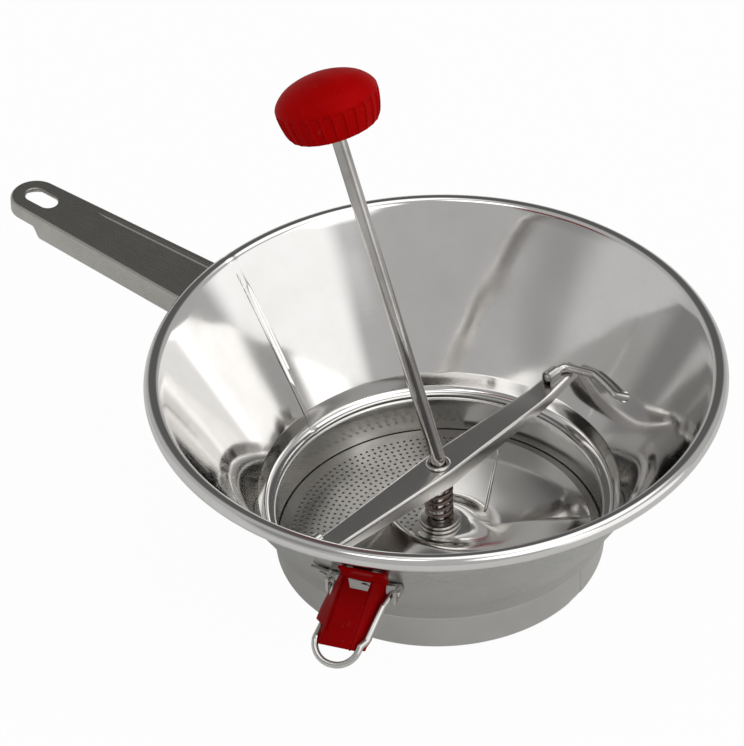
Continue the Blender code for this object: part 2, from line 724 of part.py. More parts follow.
def blade_height(heading, radius):
    """Height of the blade's underside: flat at the collar, climbing round the sweep."""
    travelled = (BLADE_TRAILING - heading) - (BLADE_SWEEP - BLADE_LIFT_SPAN)
    climb = max(0, travelled / BLADE_LIFT_SPAN)
    outer = DISC_TOP + BLADE_DISC_GAP + BLADE_LIFT * climb
    share = (radius - COLLAR_RADIUS) / (SWEEP_START_RADIUS - COLLAR_RADIUS)
    share = min(1, max(0, share))
    share = share * share * (3 - 2 * share)
    return COLLAR_LOW + (outer - COLLAR_LOW) * share


def make_blade():
    """The blade: a swept plate, fixed to the shaft between the washer and the hub."""
    radii = [SHAFT_BORE, COLLAR_RADIUS]
    for step in range(1, BLADE_RINGS):
        radii.append(COLLAR_RADIUS + (BLADE_RADIUS - COLLAR_RADIUS) * (step / (BLADE_RINGS - 1)) ** 1.3)
    shape = bmesh.new()
    grid = {}
    for ray in range(BLADE_RAYS + 1):
        heading = BLADE_TRAILING - BLADE_SWEEP * ray / BLADE_RAYS
        for ring, radius in enumerate(radii):
            low = blade_height(heading, radius)
            grid[ray, ring, 0] = shape.verts.new(polar(radius, heading, low))
            grid[ray, ring, 1] = shape.verts.new(polar(radius, heading, low + BLADE_SHEET))
    last_ring = len(radii) - 1
    for ray in range(BLADE_RAYS):
        for ring in range(last_ring):
            for side in (0, 1):
                shape.faces.new((grid[ray, ring, side], grid[ray + 1, ring, side],
                                 grid[ray + 1, ring + 1, side], grid[ray, ring + 1, side]))
        for ring in (0, last_ring):
            shape.faces.new((grid[ray, ring, 0], grid[ray + 1, ring, 0],
                             grid[ray + 1, ring, 1], grid[ray, ring, 1]))
    for ray in (0, BLADE_RAYS):
        for ring in range(last_ring):
            shape.faces.new((grid[ray, ring, 0], grid[ray, ring + 1, 0],
                             grid[ray, ring + 1, 1], grid[ray, ring, 1]))
    piece("blade", shape, "polished_steel")


def spring_points():
    low = SPRING_LOW + SPRING_WIRE_RADIUS
    high = SPRING_HIGH - SPRING_WIRE_RADIUS
    count = SPRING_TURNS * SPRING_TURN_POINTS
    return [polar(SPRING_RADIUS, 360 * step / SPRING_TURN_POINTS, low + (high - low) * step / count)
            for step in range(count + 1)]


def make_spring():
    points = spring_points()
    data = bpy.data.curves.new("spring", "CURVE")
    data.dimensions = "3D"
    data.bevel_depth = SPRING_WIRE_RADIUS
    data.bevel_resolution = 1
    data.use_fill_caps = True
    line = data.splines.new("POLY")
    line.points.add(len(points) - 1)
    for slot, point in zip(line.points, points):
        slot.co = (*point, 1)
    line.use_smooth = True
    data.materials.append(finish("dark_steel"))
    made = bpy.data.objects.new("spring", data)
    bpy.context.scene.collection.objects.link(made)
    least = min((first - second).length
                for index, first in enumerate(points)
                for second in points[index + SPRING_TURN_POINTS // 2:])
    print("spring: least gap to itself", round((least - 2 * SPRING_WIRE_RADIUS) * 1000, 2), "mm")


def make_knob():
    """A flat dome with a fluted skirt, in the rod's own direction."""
    skirt_shares = [(0.76, 0.0), (0.90, 0.14), (0.985, 0.36)]
    dome_shares = [(1.0, 0.45), (0.97, 0.57), (0.86, 0.74), (0.62, 0.89), (0.32, 0.975)]
    bore = ROD_RADIUS + RUN_GAP
    outline = [(0, KNOB_BORE_DEPTH), (bore, KNOB_BORE_DEPTH), (bore, 0)]
    outline += [(KNOB_RADIUS * across, KNOB_HEIGHT * up) for across, up in skirt_shares + dome_shares]
    outline.append((0, KNOB_HEIGHT))
    skirt_low = KNOB_HEIGHT * skirt_shares[0][1]
    skirt_high = KNOB_HEIGHT * skirt_shares[-1][1]

    def flute(height):
        return FLUTE_DEPTH if skirt_low < height <= skirt_high else 0

    knob = piece("knob", turned(outline, 2 * KNOB_FLUTES, closed=False, flute=flute), "red_plastic")
    knob.matrix_world = knob_place()
    washer = piece("knob_washer", turned(washer_outline(
        bore, KNOB_WASHER_RADIUS, -GAP - KNOB_WASHER_THICKNESS, -GAP), SMALL_STEPS), "satin_steel")
    washer.matrix_world = knob_place()


# Latch

def latch_place():
    """At the hinge: X along the hinge, Y up and Z away from the bowl."""
    hinge = polar(HINGE_RADIUS, LATCH_HEADING, HINGE_HEIGHT)
    return frame_at(hinge, outward(LATCH_HEADING + 90), outward(LATCH_HEADING))


def knee_out():
    """How far the knee's wall side stands out from the hinge, level."""
    return wall_outer(KNEE_HEIGHT) + KNEE_GAP - HINGE_RADIUS


def lever_directions():
    lean = math.radians(LATCH_LEAN)
    down = Vector((0, -math.cos(lean), math.sin(lean)))
    away = Vector((0, math.sin(lean), math.cos(lean)))
    return down, away


def lever_skew(down, point):
    """Moves a point of the arm towards the handle, the more the further down the arm it is."""
    return point - Vector((math.tan(math.radians(LEVER_SKEW)) * point.dot(down), 0, 0))


def make_lever(bowl):
    knee = Vector((0, KNEE_HEIGHT - HINGE_HEIGHT, knee_out()))
    down, away = lever_directions()
    up_wall = Vector((0, math.cos(WALL_LEAN), math.sin(WALL_LEAN)))
    off_wall = Vector((0, -math.sin(WALL_LEAN), math.cos(WALL_LEAN)))
    half = LEVER_WIDTH / 2
    side = Vector((1, 0, 0))

    # Arm: a web with two flanges towards the wall
    sections = []
    for share, depth in zip(FLANGE_SHARES, FLANGE_DEPTHS):
        splay = depth * math.tan(math.radians(FLANGE_SPLAY))
        corners = [
            (-half, LEVER_SHEET), (-half - splay, -depth), (-half - splay + LEVER_SHEET, -depth),
            (-half + LEVER_SHEET, 0), (half - LEVER_SHEET, 0), (half + splay - LEVER_SHEET, -depth),
            (half + splay, -depth), (half, LEVER_SHEET),
        ]
        section = [down * (ARM_LENGTH * share) + side * x + away * w for x, w in corners]
        sections.append([knee + lever_skew(down, point) for point in section])
    lever = piece("latch_lever", lofted(sections, CHANNEL_CAPS), "red_paint")
    lever.matrix_world = latch_place()

    # Pad that lies on the wall above the knee
    pad_low = knee - up_wall * LEVER_SHEET
    pad_high = knee + up_wall * PAD_LENGTH
    sections = []
    for x in (PAD_SHIFT - PAD_WIDTH / 2, PAD_SHIFT + PAD_WIDTH / 2):
        sections.append([pad_low + side * x, pad_high + side * x,
                         pad_high + off_wall * LEVER_SHEET + side * x,
                         pad_low + off_wall * LEVER_SHEET + side * x])
    pad = piece("lever_pad", lofted(sections))
    pad.matrix_world = latch_place()

    # Tongue that reaches through the wall over the near arm
    tongue_low = TONGUE_HEIGHT - HINGE_HEIGHT
    tongue_in = wall_inner(TONGUE_HEIGHT) - TONGUE_REACH - HINGE_RADIUS
    below_knee = KNEE_HEIGHT - TONGUE_HEIGHT
    tongue_out = knee_out() + below_knee * math.tan(math.radians(LATCH_LEAN)) + LEVER_SHEET / 2
    tongue = piece("lever_tongue", block((-TONGUE_WIDTH / 2, tongue_low, tongue_in),
                                         (TONGUE_WIDTH / 2, tongue_low + LEVER_SHEET, tongue_out)))
    tongue.matrix_world = latch_place()
    combine(lever, pad, "UNION")

    window_sections = []
    for share in (0, 1):
        middle = down * (WINDOW_TOP + WINDOW_LENGTH * share)
        reach = WINDOW_WIDTH / 2
        window_sections.append([knee + lever_skew(down, middle + side * x + away * w) for x, w in (
            (-reach, -LEVER_SHEET), (reach, -LEVER_SHEET), (reach, OVERRUN), (-reach, OVERRUN))])
    window = piece("lever_window", lofted(window_sections))
    window.matrix_world = latch_place()
    cut(lever, window)
    combine(lever, tongue, "UNION")

    slot = piece("tongue_slot", block(
        (-TONGUE_WIDTH / 2 - TONGUE_PLAY, tongue_low - TONGUE_PLAY, tongue_in - OVERRUN),
        (TONGUE_WIDTH / 2 + TONGUE_PLAY, tongue_low + LEVER_SHEET + TONGUE_PLAY, knee_out() + OVERRUN)))
    slot.matrix_world = latch_place()
    cut(bowl, slot)


def bail_path():
    """The wire: out of one lug, straight down beside the lever, round its end and back up."""
    knee = Vector((0, KNEE_HEIGHT - HINGE_HEIGHT, knee_out()))
    down, away = lever_directions()
    bottom = down * (ARM_LENGTH + BAIL_TIP - BAIL_RADIUS) - away * BAIL_END_DEPTH
    half = Vector((BAIL_HINGE_HALF, 0, 0))
    end_half = Vector((BAIL_END_HALF, 0, 0))
    lug_end = Vector((BAIL_LUG_END, 0, 0))
    low_middle = knee + lever_skew(down, bottom)
    corners = [-lug_end, -half, low_middle - end_half, low_middle + end_half, half, lug_end]
    return bend(corners, [BAIL_KNUCKLE, BAIL_BOW, BAIL_BOW, BAIL_KNUCKLE], 4)


def make_bail():
    bail = piece("latch_bail", tube(bail_path(), BAIL_RADIUS, ROD_SIDES), "polished_steel")
    bail.matrix_world = latch_place()


def make_strap(bowl):
    """A strip on the cone's outside with two lugs for the wire's ends."""
    sections = []
    for step in range(STRAP_STEPS + 1):
        heading = STRAP_START + (STRAP_END - STRAP_START) * step / STRAP_STEPS
        normal = wall_normal(heading)
        low = polar(wall_outer(STRAP_LOW), heading, STRAP_LOW)
        high = polar(wall_outer(STRAP_HIGH), heading, STRAP_HIGH)
        inner = 2 * GAP
        outer = inner + STRAP_THICKNESS
        sections.append([low + normal * inner, high + normal * inner,
                         high + normal * outer, low + normal * outer])
    strap = piece("latch_strap", lofted(sections), "satin_steel")
    lug_half = BAIL_RADIUS + GAP + LUG_MARGIN
    lug_in = wall_outer(STRAP_LOW) - HINGE_RADIUS - OVERRUN
    for side in (-1, 1):
        spans = sorted((side * LUG_INSET, side * (LUG_INSET + LUG_THICKNESS)))
        lug = piece("strap_lug", block((spans[0], -lug_half, lug_in),
                                       (spans[1], lug_half, lug_half)))
        lug.matrix_world = latch_place()
        combine(strap, lug, "UNION")
    cut(strap, cone_cutter("strap_back", GAP))
    hinge = polar(HINGE_RADIUS, LATCH_HEADING, HINGE_HEIGHT)
    along = outward(LATCH_HEADING + 90)
    cut(strap, drill("hinge_hole", hinge, along, BAIL_RADIUS + GAP, BAIL_LUG_END + OVERRUN,
                     BAIL_LUG_END + OVERRUN))

    rivet_height = (STRAP_LOW + STRAP_HIGH) / 2
    for name, heading in (("strap_rivet_left", STRAP_START + STRAP_RIVET_INSET),
                          ("strap_rivet_mid", LATCH_HEADING)):
        place = polar(wall_outer(rivet_height), heading, rivet_height)
        normal = wall_normal(heading)
        rivet(name, place, normal, STRAP_RIVET_RADIUS, STRAP_RIVET_HEAD, STRAP_RIVET_HEAD_HEIGHT,
              STRAP_THICKNESS + 3 * GAP, -SHEET, "satin_steel")
        hole = drill(name + "_hole", place, normal, STRAP_RIVET_RADIUS + GAP, OVERRUN, OVERRUN)
        cut(bowl, hole)
        cut(strap, hole)


def carry_all(axis_y):
    """Hangs every object on an empty at the bowl's axis, which sits off the middle of the whole."""
    pivot = bpy.data.objects.new("bowl_axis", None)
    bpy.context.scene.collection.objects.link(pivot)
    pivot.location = (AXIS_X, axis_y, 0)
    for made in bpy.data.objects:
        if made is not pivot:
            made.parent = pivot


def latch_reach():
    """Lowest Y of the latch's wire, whose ring of sides touches its full radius."""
    place = latch_place()
    return min((place @ point).y for point in bail_path()) - BAIL_RADIUS


def main():
    for old in list(bpy.data.objects):
        bpy.data.objects.remove(old, do_unlink=True)
    bowl = make_bowl()
    make_rim_wire()
    make_band()
    make_disc()
    make_crossbar()
    make_arms(bowl)
    make_handle()
    make_crank()
    make_blade()
    make_spring()
    make_knob()
    make_lever(bowl)
    make_bail()
    make_strap(bowl)
    axis_y = -(min(latch_reach(), -RIM_RADIUS) + RIM_RADIUS) / 2
    carry_all(axis_y)
    print("bowl axis at", round(AXIS_X * 1000, 3), round(axis_y * 1000, 3), "mm")


main()
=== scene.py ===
"""Food mill in polished steel with red fittings: surfaces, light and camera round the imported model.

Lengths are in metres, angles in degrees. Pieces are built round the bowl's axis and then moved to it.
"""
from math import asin, atan, atan2, ceil, copysign, cos, degrees, exp, hypot, pi, radians, sin, sqrt, tan, tau

import bmesh
import bpy
from mathutils import Matrix, Vector
from mathutils.geometry import delaunay_2d_cdt


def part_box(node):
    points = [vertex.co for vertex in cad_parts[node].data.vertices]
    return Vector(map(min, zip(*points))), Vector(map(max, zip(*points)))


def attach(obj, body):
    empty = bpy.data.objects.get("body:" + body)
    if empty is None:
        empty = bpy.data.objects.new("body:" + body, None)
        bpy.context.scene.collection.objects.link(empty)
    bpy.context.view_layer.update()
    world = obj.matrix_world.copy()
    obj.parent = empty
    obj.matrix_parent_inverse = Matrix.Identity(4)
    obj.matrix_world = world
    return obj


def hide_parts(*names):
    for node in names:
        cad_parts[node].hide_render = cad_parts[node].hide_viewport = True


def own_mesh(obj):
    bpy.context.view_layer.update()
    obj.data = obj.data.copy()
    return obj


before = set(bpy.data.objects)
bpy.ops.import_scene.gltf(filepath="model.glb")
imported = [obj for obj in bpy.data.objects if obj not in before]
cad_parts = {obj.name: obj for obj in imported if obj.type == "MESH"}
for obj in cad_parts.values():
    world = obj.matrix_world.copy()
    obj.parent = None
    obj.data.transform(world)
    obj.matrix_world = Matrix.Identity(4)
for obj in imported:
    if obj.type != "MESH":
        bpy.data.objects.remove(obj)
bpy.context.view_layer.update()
SCENE = bpy.context.scene
RIM_LOW, RIM_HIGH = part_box("rim_wire")
AXIS = Vector(((RIM_LOW.x + RIM_HIGH.x) / 2, (RIM_LOW.y + RIM_HIGH.y) / 2, 0))

# Sizes repeated from the part's source
GAP, RUN_GAP, SHEET = 0.0003, 0.0004, 0.0008
RIM_RADIUS, RIM_HEIGHT = 0.120, 0.0918
CURL_RADIUS, CURL_END = 0.0036, -140.0
CREASE_RADIUS, CREASE_HEIGHT, STEP_RADIUS = 0.0766, 0.0276, 0.0734
FOOT_INNER_RADIUS, FOOT_HEIGHT = 0.0696, 0.0194
BAND_RADIUS, BAND_HEIGHT, BAND_SHEET = 0.0692, 0.0191, 0.0008
LIP_RADIUS, SEAT_WIDTH = 0.0726, 0.0046
DISC_RADIUS, DISC_LOW, DISC_TOP = 0.0679, 0.0011, 0.0021
ROD_RADIUS, ROD_TIP_HEIGHT, SHAFT_BORE = 0.0031, 0.0009, 0.0035
BEND_RADIUS, BEND_HEIGHT = 0.006, 0.0424
CRANK_HEADING, CRANK_LEAN = 172.0, 21.6
HUB_LOW, HUB_TOP, HUB_RADIUS = 0.0025, 0.0073, 0.0075
COLLAR_LOW, COLLAR_RADIUS = 0.0076, 0.011
BLADE_SHEET, BLADE_RADIUS, SWEEP_START_RADIUS = 0.0010, 0.0640, 0.026
BLADE_LIFT, BLADE_LIFT_SPAN = 0.0195, 150.0
BLADE_TRAILING, BLADE_SWEEP = 120.0, 225.0
WASHER_THICKNESS = 0.0012
LOWER_WASHER_LOW, LOWER_WASHER_RADIUS = 0.0089, 0.0092
THRUST_WASHER_LOW, THRUST_WASHER_RADIUS = 0.0104, 0.0084
SPRING_LOW, SPRING_HIGH, FLOAT_TRAVEL = 0.0119, 0.0375, 0.005
SPRING_RADIUS, SPRING_WIRE_RADIUS, SPRING_TURNS = 0.0053, 0.0008, 7
CUP_LOW, CUP_TOP, CUP_RADIUS = 0.0378, 0.0388, 0.0061
BAR_SHEET, BAR_TOP, BAR_HEADING, BAR_HALF_LENGTH = 0.0009, 0.040, 85.0, 0.0821
BAR_MID_WIDTH, BAR_END_WIDTH = 0.0150, 0.0088
BAR_MID_DEPTH, BAR_END_DEPTH = 0.0080, 0.0036
BAR_END_RISE, BAR_RISE_START = 0.0030, 0.0595
BUSH_FLANGE_RADIUS, BUSH_FLANGE, BUSH_WALL = 0.0052, 0.0009, 0.0008
ARM_RADIUS, ARM_HEIGHT, ARM_TAIL = 0.0018, 0.0451, 0.0110
ARM_TURN_RADIUS, ARM_WALL_GAP, ARM_TURN_HEADING = 0.0040, 0.0006, 9.0
FAR_ARM_END, FAR_ARM_TIP = 64.5, 0.0040
NEAR_ARM_END, NEAR_ARM_CLIMB = 291.0, 0.0122
HANDLE_SHEET, HANDLE_REACH, HANDLE_TOP, HANDLE_RISE = 0.0012, 0.2320, 0.0767, 0.0048
HANDLE_ROOT_HALF_WIDTH, HANDLE_END_HALF_WIDTH = 0.0152, 0.0110
HANDLE_DEPTH, HANDLE_END_DEPTH = 0.0112, 0.0062
HANDLE_RELIEF, HANDLE_RELIEF_SLOPE = 0.0188, 0.004
HANG_HOLE_LENGTH, HANG_HOLE_WIDTH, HANG_HOLE_INSET = 0.0160, 0.0085, 0.0145
KNOB_RADIUS, KNOB_HEIGHT, KNOB_DISTANCE = 0.0217, 0.0230, 0.1520
KNOB_BORE_DEPTH, KNOB_FLUTES = 0.0150, 26
KNOB_WASHER_RADIUS, KNOB_WASHER_THICKNESS = 0.0070, 0.0012
LATCH_HEADING, HINGE_RADIUS, HINGE_HEIGHT = 290.0, 0.09587, 0.0536
LEVER_SHEET, LEVER_WIDTH, WINDOW_WIDTH = 0.0009, 0.0141, 0.0104
PAD_LENGTH, PAD_WIDTH, PAD_SHIFT = 0.0088, 0.0205, 0.0022
KNEE_HEIGHT, KNEE_GAP, ARM_LENGTH = 0.0618, 0.0012, 0.0300
LATCH_LEAN, LEVER_SKEW, FLANGE_SPLAY = 47.0, 6.5, 24.0
TONGUE_WIDTH, TONGUE_HEIGHT, TONGUE_REACH, TONGUE_PLAY = 0.0084, 0.0607, 0.0036, 0.0012
BAIL_RADIUS, BAIL_HINGE_HALF, BAIL_BEND = 0.0014, 0.0117, 0.0092
BAIL_TIP, BAIL_LUG_END, BAIL_KNUCKLE = 0.0084, 0.0155, 0.0018
STRAP_START, STRAP_LOW, STRAP_HIGH, STRAP_THICKNESS = 276.0, 0.0490, 0.0572, 0.0010
STRAP_RIVET_RADIUS, STRAP_RIVET_HEAD, STRAP_RIVET_HEAD_HEIGHT = 0.0013, 0.0024, 0.0007
STRAP_RIVET_INSET = 2.5

# The bowl's wall, from the tangent between the crease and the curl at the rim
CURL_CENTRE = (RIM_RADIUS - CURL_RADIUS, RIM_HEIGHT - CURL_RADIUS)
CURL_OUT, CURL_UP = CURL_CENTRE[0] - CREASE_RADIUS, CURL_CENTRE[1] - CREASE_HEIGHT
WALL_LEAN = atan2(CURL_OUT, CURL_UP) - asin((CURL_RADIUS - SHEET) / hypot(CURL_OUT, CURL_UP))
CONE_SLOPE = tan(WALL_LEAN)
WALL_SPAN = SHEET / cos(WALL_LEAN)

# What only this file adds to the bowl and the band
ROUND_STEPS = 288                            # headings round the bowl and the band
PATH_STEP = 0.004                            # longest stretch of an outline
STEP_SOFT, CREASE_SOFT = 0.0036, 0.0042      # roundings of the wall seen from inside
OUTER_CREASE_SOFT, OUTER_STEP_SOFT = 0.0036, 0.0012
SEAM_HEADING, SEAM_WIDTH = 177.6, 1.5        # lap joint of the bowl's sheet, beside the handle
SEAM_LAP, SEAM_REST = 0.00045, 0.62          # step at the lap, and the share of it left behind the lap
SEAM_FADE = 32.0                             # headings over which that rest dies out
SEAM_RIM_LOSS = 0.6                          # share of the step lost below the rim
SEAM_EDGE, SEAM_CLEAR = 0.07, 0.35           # headings: half a step's width, and what it keeps free
MIRROR_LOW = 2.3 * CURL_RADIUS               # how far the mirror finish comes down outside the rim
SLOT_PAST = 0.004                            # how far the slot's cutter goes past the wall
TIP_HOLE_IN, TIP_HOLE_OUT = 0.008, 0.004     # the same for the far arm's hole
BAND_SEAM_HEADING, BAND_SEAM_FADE, BAND_LAP = 6.0, 20, 0.0003
BAND_FOOT_SOFT, BAND_SEAT_SOFT = 0.0012, 0.0005
LIP_OUTER_SOFT, LIP_INNER_SOFT, LIP_EDGE_SOFT, LIP_BULGE = 0.0006, 0.0012, 0.0002, 0.0001

# What it adds to the sieve, the crossbar and the arms
HOLE_RADIUS, HOLE_SIDES = 0.00065, 8
HOLE_SPACING, HOLE_RING_PITCH = 0.0029, 0.0026
HOLE_OUTER, HOLE_INNER = 0.0620, 0.0105      # the rings of holes lie between these radii
BAR_SOFT, BAR_STEPS, BAR_CUT = 0.0013, 24, 0.004
BUSH_SOFT, BUSH_BORE_SOFT = 0.0009, 0.0003
ARM_STEPS, ARM_END_SOFT = 24, 0.0009
NEAR_ARM_TAIL = 0.0085                       # shorter than the source's
FAR_TIP_TURN = 4                             # headings from the far arm's end to its tip
SADDLE_SHEET, SADDLE_SOFT, SADDLE_END = 0.0008, 0.0003, 0.0084
FAR_SADDLE, NEAR_SADDLE = 0.0062, 0.0030     # their lengths

# What it adds to the handle, the rivets and the crank
HANDLE_SOFT, HANDLE_TOP_FLAT, HANDLE_LOW_SOFT = 0.0016, 0.0004, 0.0002
HOLE_EDGE, HOLE_FLAT = 0.0006, 0.0003
RIB_START, RIB_INSET = 0.004, 0.040          # from the rim, and from the handle's end
RIB_PLACE = 0.66                             # share of the handle's half width
RIB_RISE, RIB_HALF_WIDTH, RIB_ROOT, RIB_STEPS = 0.00045, 0.0011, 0.0004, 40
RIVET_WIDTH_SHARE, RIVET_HEIGHT_SHARE = 0.8, 0.45
ROD_STEP, ROD_END_SOFT = 0.01, 0.0008
HUB_SOFT, WASHER_SOFT, KNOB_WASHER_SOFT = 0.0005, 0.00035, 0.0003
BLADE_CLEARANCE, BLADE_RAYS = 0.0004, 150
SPRING_STEPS = 28                            # to a turn
FLUTE_DEPTH = 0.00075
# The knob's outline above its foot: shares of its radius and height
KNOB_OUTLINE = ((0.78, 0.0), (0.85, 0.012), (0.91, 0.10), (0.955, 0.24), (0.985, 0.38), (1.0, 0.50),
                (0.996, 0.58), (0.96, 0.66), (0.885, 0.745), (0.79, 0.82), (0.66, 0.885), (0.50, 0.94),
                (0.32, 0.975), (0.15, 0.994))
# Headings of one flute, close together where its ridge rises
FLUTE_SHARES = (0, 0.045, 0.07, 0.10, 0.13, 0.16, 0.22, 0.33, 0.5, 0.67, 0.78, 0.84, 0.87, 0.90, 0.93, 0.955)

# What it adds to the latch
LEVER_SOFT, KNEE_SOFT, FOLD_END = 0.0013, 0.0009, 0.0003
LEVER_EDGE, TONGUE_EDGE = 0.00018, 0.0003
WINDOW_START, WINDOW_STOP = 0.0011, 0.0056   # along the arm
WINDOW_LEFT_SLANT, WINDOW_RIGHT_SHIFT, WINDOW_RIGHT_SLANT = 0.0024, 0.0011, 0.0002
WINDOW_RIM_OUT, WINDOW_RIM_IN = 0.0001, 0.0003                  # columns on both sides of its edge
FLANGE_KNEE, FLANGE_GAIN, FLANGE_LOSS, FLANGE_LOBE = 0.0058, 0.0030, 0.0022, 0.0009
LEFT_FLARE, LEFT_FLARE_END = 0.40, 0.66      # the left flange's added splay, and where it is full
LEFT_CUT, LEFT_CUT_START, LEFT_CUT_SPAN = 0.75, 0.67, 0.07      # how much of its depth ends early, and where
FLANGE_SLANT, FLANGE_SLANT_START = 0.0012, 0.86                 # of the flanges' ends
PAD_CORNER, PAD_FOOT = 0.0004, 0.0012        # off the pad's ends, and its lowest row over the knee
BAIL_OUT, BAIL_END_SOFT = 0.0005, 0.0005     # knuckles further out than in the source, and the wire's ends
# The wire loop's corners on the lever: sideways, along the arm, behind it
BAIL_LEFT = ((-0.0102, 0.0100, 0.0068), (-0.0104, 0.0195, 0.0072), (-BAIL_BEND - 0.0006, 0.0278, 0.0012))
BAIL_RIGHT = ((BAIL_BEND, 0.0278, 0.0004), (0.0106, 0.0250, 0.0020), (0.0114, 0.0100, 0.0048))
BAIL_SOFT = (BAIL_KNUCKLE, 0.0030, 0.0030, 0.0030, BAIL_BEND, BAIL_BEND, 0.0010, 0.0010, 0.0030, BAIL_KNUCKLE)


def wall_outer(height):
    return CREASE_RADIUS + CONE_SLOPE * (height - CREASE_HEIGHT)


def wall_inner(height):
    return wall_outer(height) - WALL_SPAN


def polar(radius, heading, height):
    angle = radians(heading)
    return Vector((radius * cos(angle), radius * sin(angle), height))


def outward(heading):
    return polar(1, heading, 0)


def smooth_share(value):
    value = min(1, max(0, value))
    return value * value * (3 - 2 * value)


def frame_at(origin, x_axis, z_axis):
    z_axis = z_axis.normalized()
    x_axis = (x_axis - z_axis * x_axis.dot(z_axis)).normalized()
    y_axis = z_axis.cross(x_axis)
    return Matrix.Translation(origin) @ Matrix((x_axis, y_axis, z_axis)).transposed().to_4x4()


def about_upright(heading):
    return Matrix.Rotation(radians(heading), 4, "Z")


# Node materials

class Nodes:
    """A short way to write node trees: every call makes a node and joins what it is given."""

    def __init__(self, tree):
        self.tree = tree

    def put(self, node, key, value):
        """Joins or sets one input of a node, by its number or its label."""
        if isinstance(value, bpy.types.NodeSocket):
            self.tree.links.new(value, node.inputs[key])
        else:
            node.inputs[key].default_value = value

    def add(self, kind, *values, **named):
        """Inputs come first, in their order. A lower-case name is a setting, others are inputs' labels."""
        node = self.tree.nodes.new("ShaderNode" + kind)
        for key, value in named.items():
            if key.islower():
                setattr(node, key, value)
            else:
                self.put(node, key, value)
        for key, value in enumerate(values):
            self.put(node, key, value)
        return node

    def math(self, operation, *values):
        return self.add("Math", *values, operation=operation).outputs[0]

    def plus(self, first, second):
        return self.math("ADD", first, second)

    def minus(self, first, second):
        return self.math("SUBTRACT", first, second)

    def times(self, first, second):
        return self.math("MULTIPLY", first, second)

    def place(self):
        return self.add("TexCoord").outputs["Object"]

    def noise(self, vector, scale, detail=3.0, roughness=0.5):
        return self.add("TexNoise", Vector=vector, Scale=scale, Detail=detail, Roughness=roughness).outputs[0]

    def spread(self, value, low, high, to_low, to_high, kind="LINEAR"):
        return self.add("MapRange", value, low, high, to_low, to_high, interpolation_type=kind,
                        clamp=True).outputs[0]

    def blend(self, share, first, second):
        node = self.add("Mix", share, data_type="RGBA")
        for key, value in ((6, first), (7, second)):
            self.put(node, key, (*value, 1) if isinstance(value, tuple) else value)
        return node.outputs[2]

    def dress(self, shader, shade, gloss, height):
        self.put(shader, "Base Color", shade)
        self.put(shader, "Roughness", gloss)
        self.put(shader, "Normal", self.add("Bump", Strength=1.0, Distance=1.0, Height=height).outputs[0])


def material(name):
    made = bpy.data.materials.new(name)
    made.use_nodes = True
    return made, Nodes(made.node_tree), made.node_tree.nodes["Principled BSDF"]


def pressed_line(n, x, y, start, stop, depth):
    """A shallow groove along a line between two points, which fades at its two ends."""
    half_width, fade = 0.0009, 0.004
    length = hypot(stop[0] - start[0], stop[1] - start[1])
    ahead = ((stop[0] - start[0]) / length, (stop[1] - start[1]) / length)
    side = (-ahead[1], ahead[0])

    def measure(way):
        return n.plus(n.times(n.minus(x, start[0]), way[0]), n.times(n.minus(y, start[1]), way[1]))

    ends = n.times(n.spread(measure(ahead), 0.0, fade, 0.0, 1.0),
                   n.spread(measure(ahead), length - fade, length, 1.0, 0.0))
    groove = n.spread(n.math("ABSOLUTE", measure(side)), 0.0, half_width, depth, 0.0, "SMOOTHSTEP")
    return n.times(groove, ends)


def steel(name, colour, dark, rough, rough_range, wave=0.0, wave_scale=22.0, lines=0.0, grain=0.0,
          fleck=0.0, stretch=None, line=None):
    """Polished or brushed sheet: broad waves from pressing, fine lines from polishing, uneven gloss.

    The polishing lines run round the bowl's axis, or along the axis on which stretch is small."""
    made, n, shader = material(name)
    place = n.place()
    x, y, z = n.add("SeparateXYZ", place).outputs
    if stretch:
        across = n.add("VectorMath", place, stretch, operation="MULTIPLY").outputs[0]
    else:
        radius = n.math("SQRT", n.plus(n.times(x, x), n.times(y, y)))
        across = n.add("CombineXYZ", radius, z, 0.0).outputs[0]
    polish = n.noise(across, 2600.0, 2.0, 0.6)
    cloud = n.noise(place, 38.0, 4.0, 0.6)
    speck = n.noise(place, 900.0, 2.0, 0.5)
    shade = n.blend(n.spread(cloud, 0.35, 0.7, 0.0, 1.0), colour, dark)
    if fleck:
        shade = n.blend(n.times(n.spread(speck, 0.60, 0.75, 0.0, 1.0), fleck), shade, (0.30, 0.26, 0.22))
    gloss = n.plus(n.spread(cloud, 0.3, 0.75, rough - rough_range, rough + rough_range),
                   n.spread(polish, 0.3, 0.7, -rough_range * 0.5, rough_range * 0.5))
    height = n.times(n.noise(place, wave_scale, 1.0, 0.4), wave)
    height = n.plus(height, n.times(polish, lines))
    height = n.plus(height, n.times(speck, grain))
    if line:
        height = n.minus(height, pressed_line(n, x, y, *line))
    shader.inputs["Metallic"].default_value = 1.0
    n.dress(shader, shade, gloss, height)
    return made


def red(name, colour, dark, rough, orange_peel, specular):
    """Red paint or plastic with a faint orange-peel surface, small scuffs and darker, worn patches."""
    made, n, shader = material(name)
    place = n.place()
    cloud = n.noise(place, 60.0, 5.0, 0.6)
    fine = n.noise(place, 1400.0, 2.0, 0.5)
    scuff = n.spread(n.noise(place, 260.0, 6.0, 0.7), 0.62, 0.72, 0.0, 1.0)
    shade = n.blend(n.spread(cloud, 0.3, 0.7, 0.0, 1.0), colour, dark)
    shade = n.blend(n.times(scuff, 0.12), shade, (0.75, 0.25, 0.22))
    gloss = n.plus(n.spread(cloud, 0.3, 0.7, rough - 0.04, rough + 0.05), n.times(scuff, 0.15))
    shader.inputs["Specular IOR Level"].default_value = specular
    n.dress(shader, shade, gloss, n.plus(n.times(fine, orange_peel), n.times(cloud, 0.00006)))
    return made


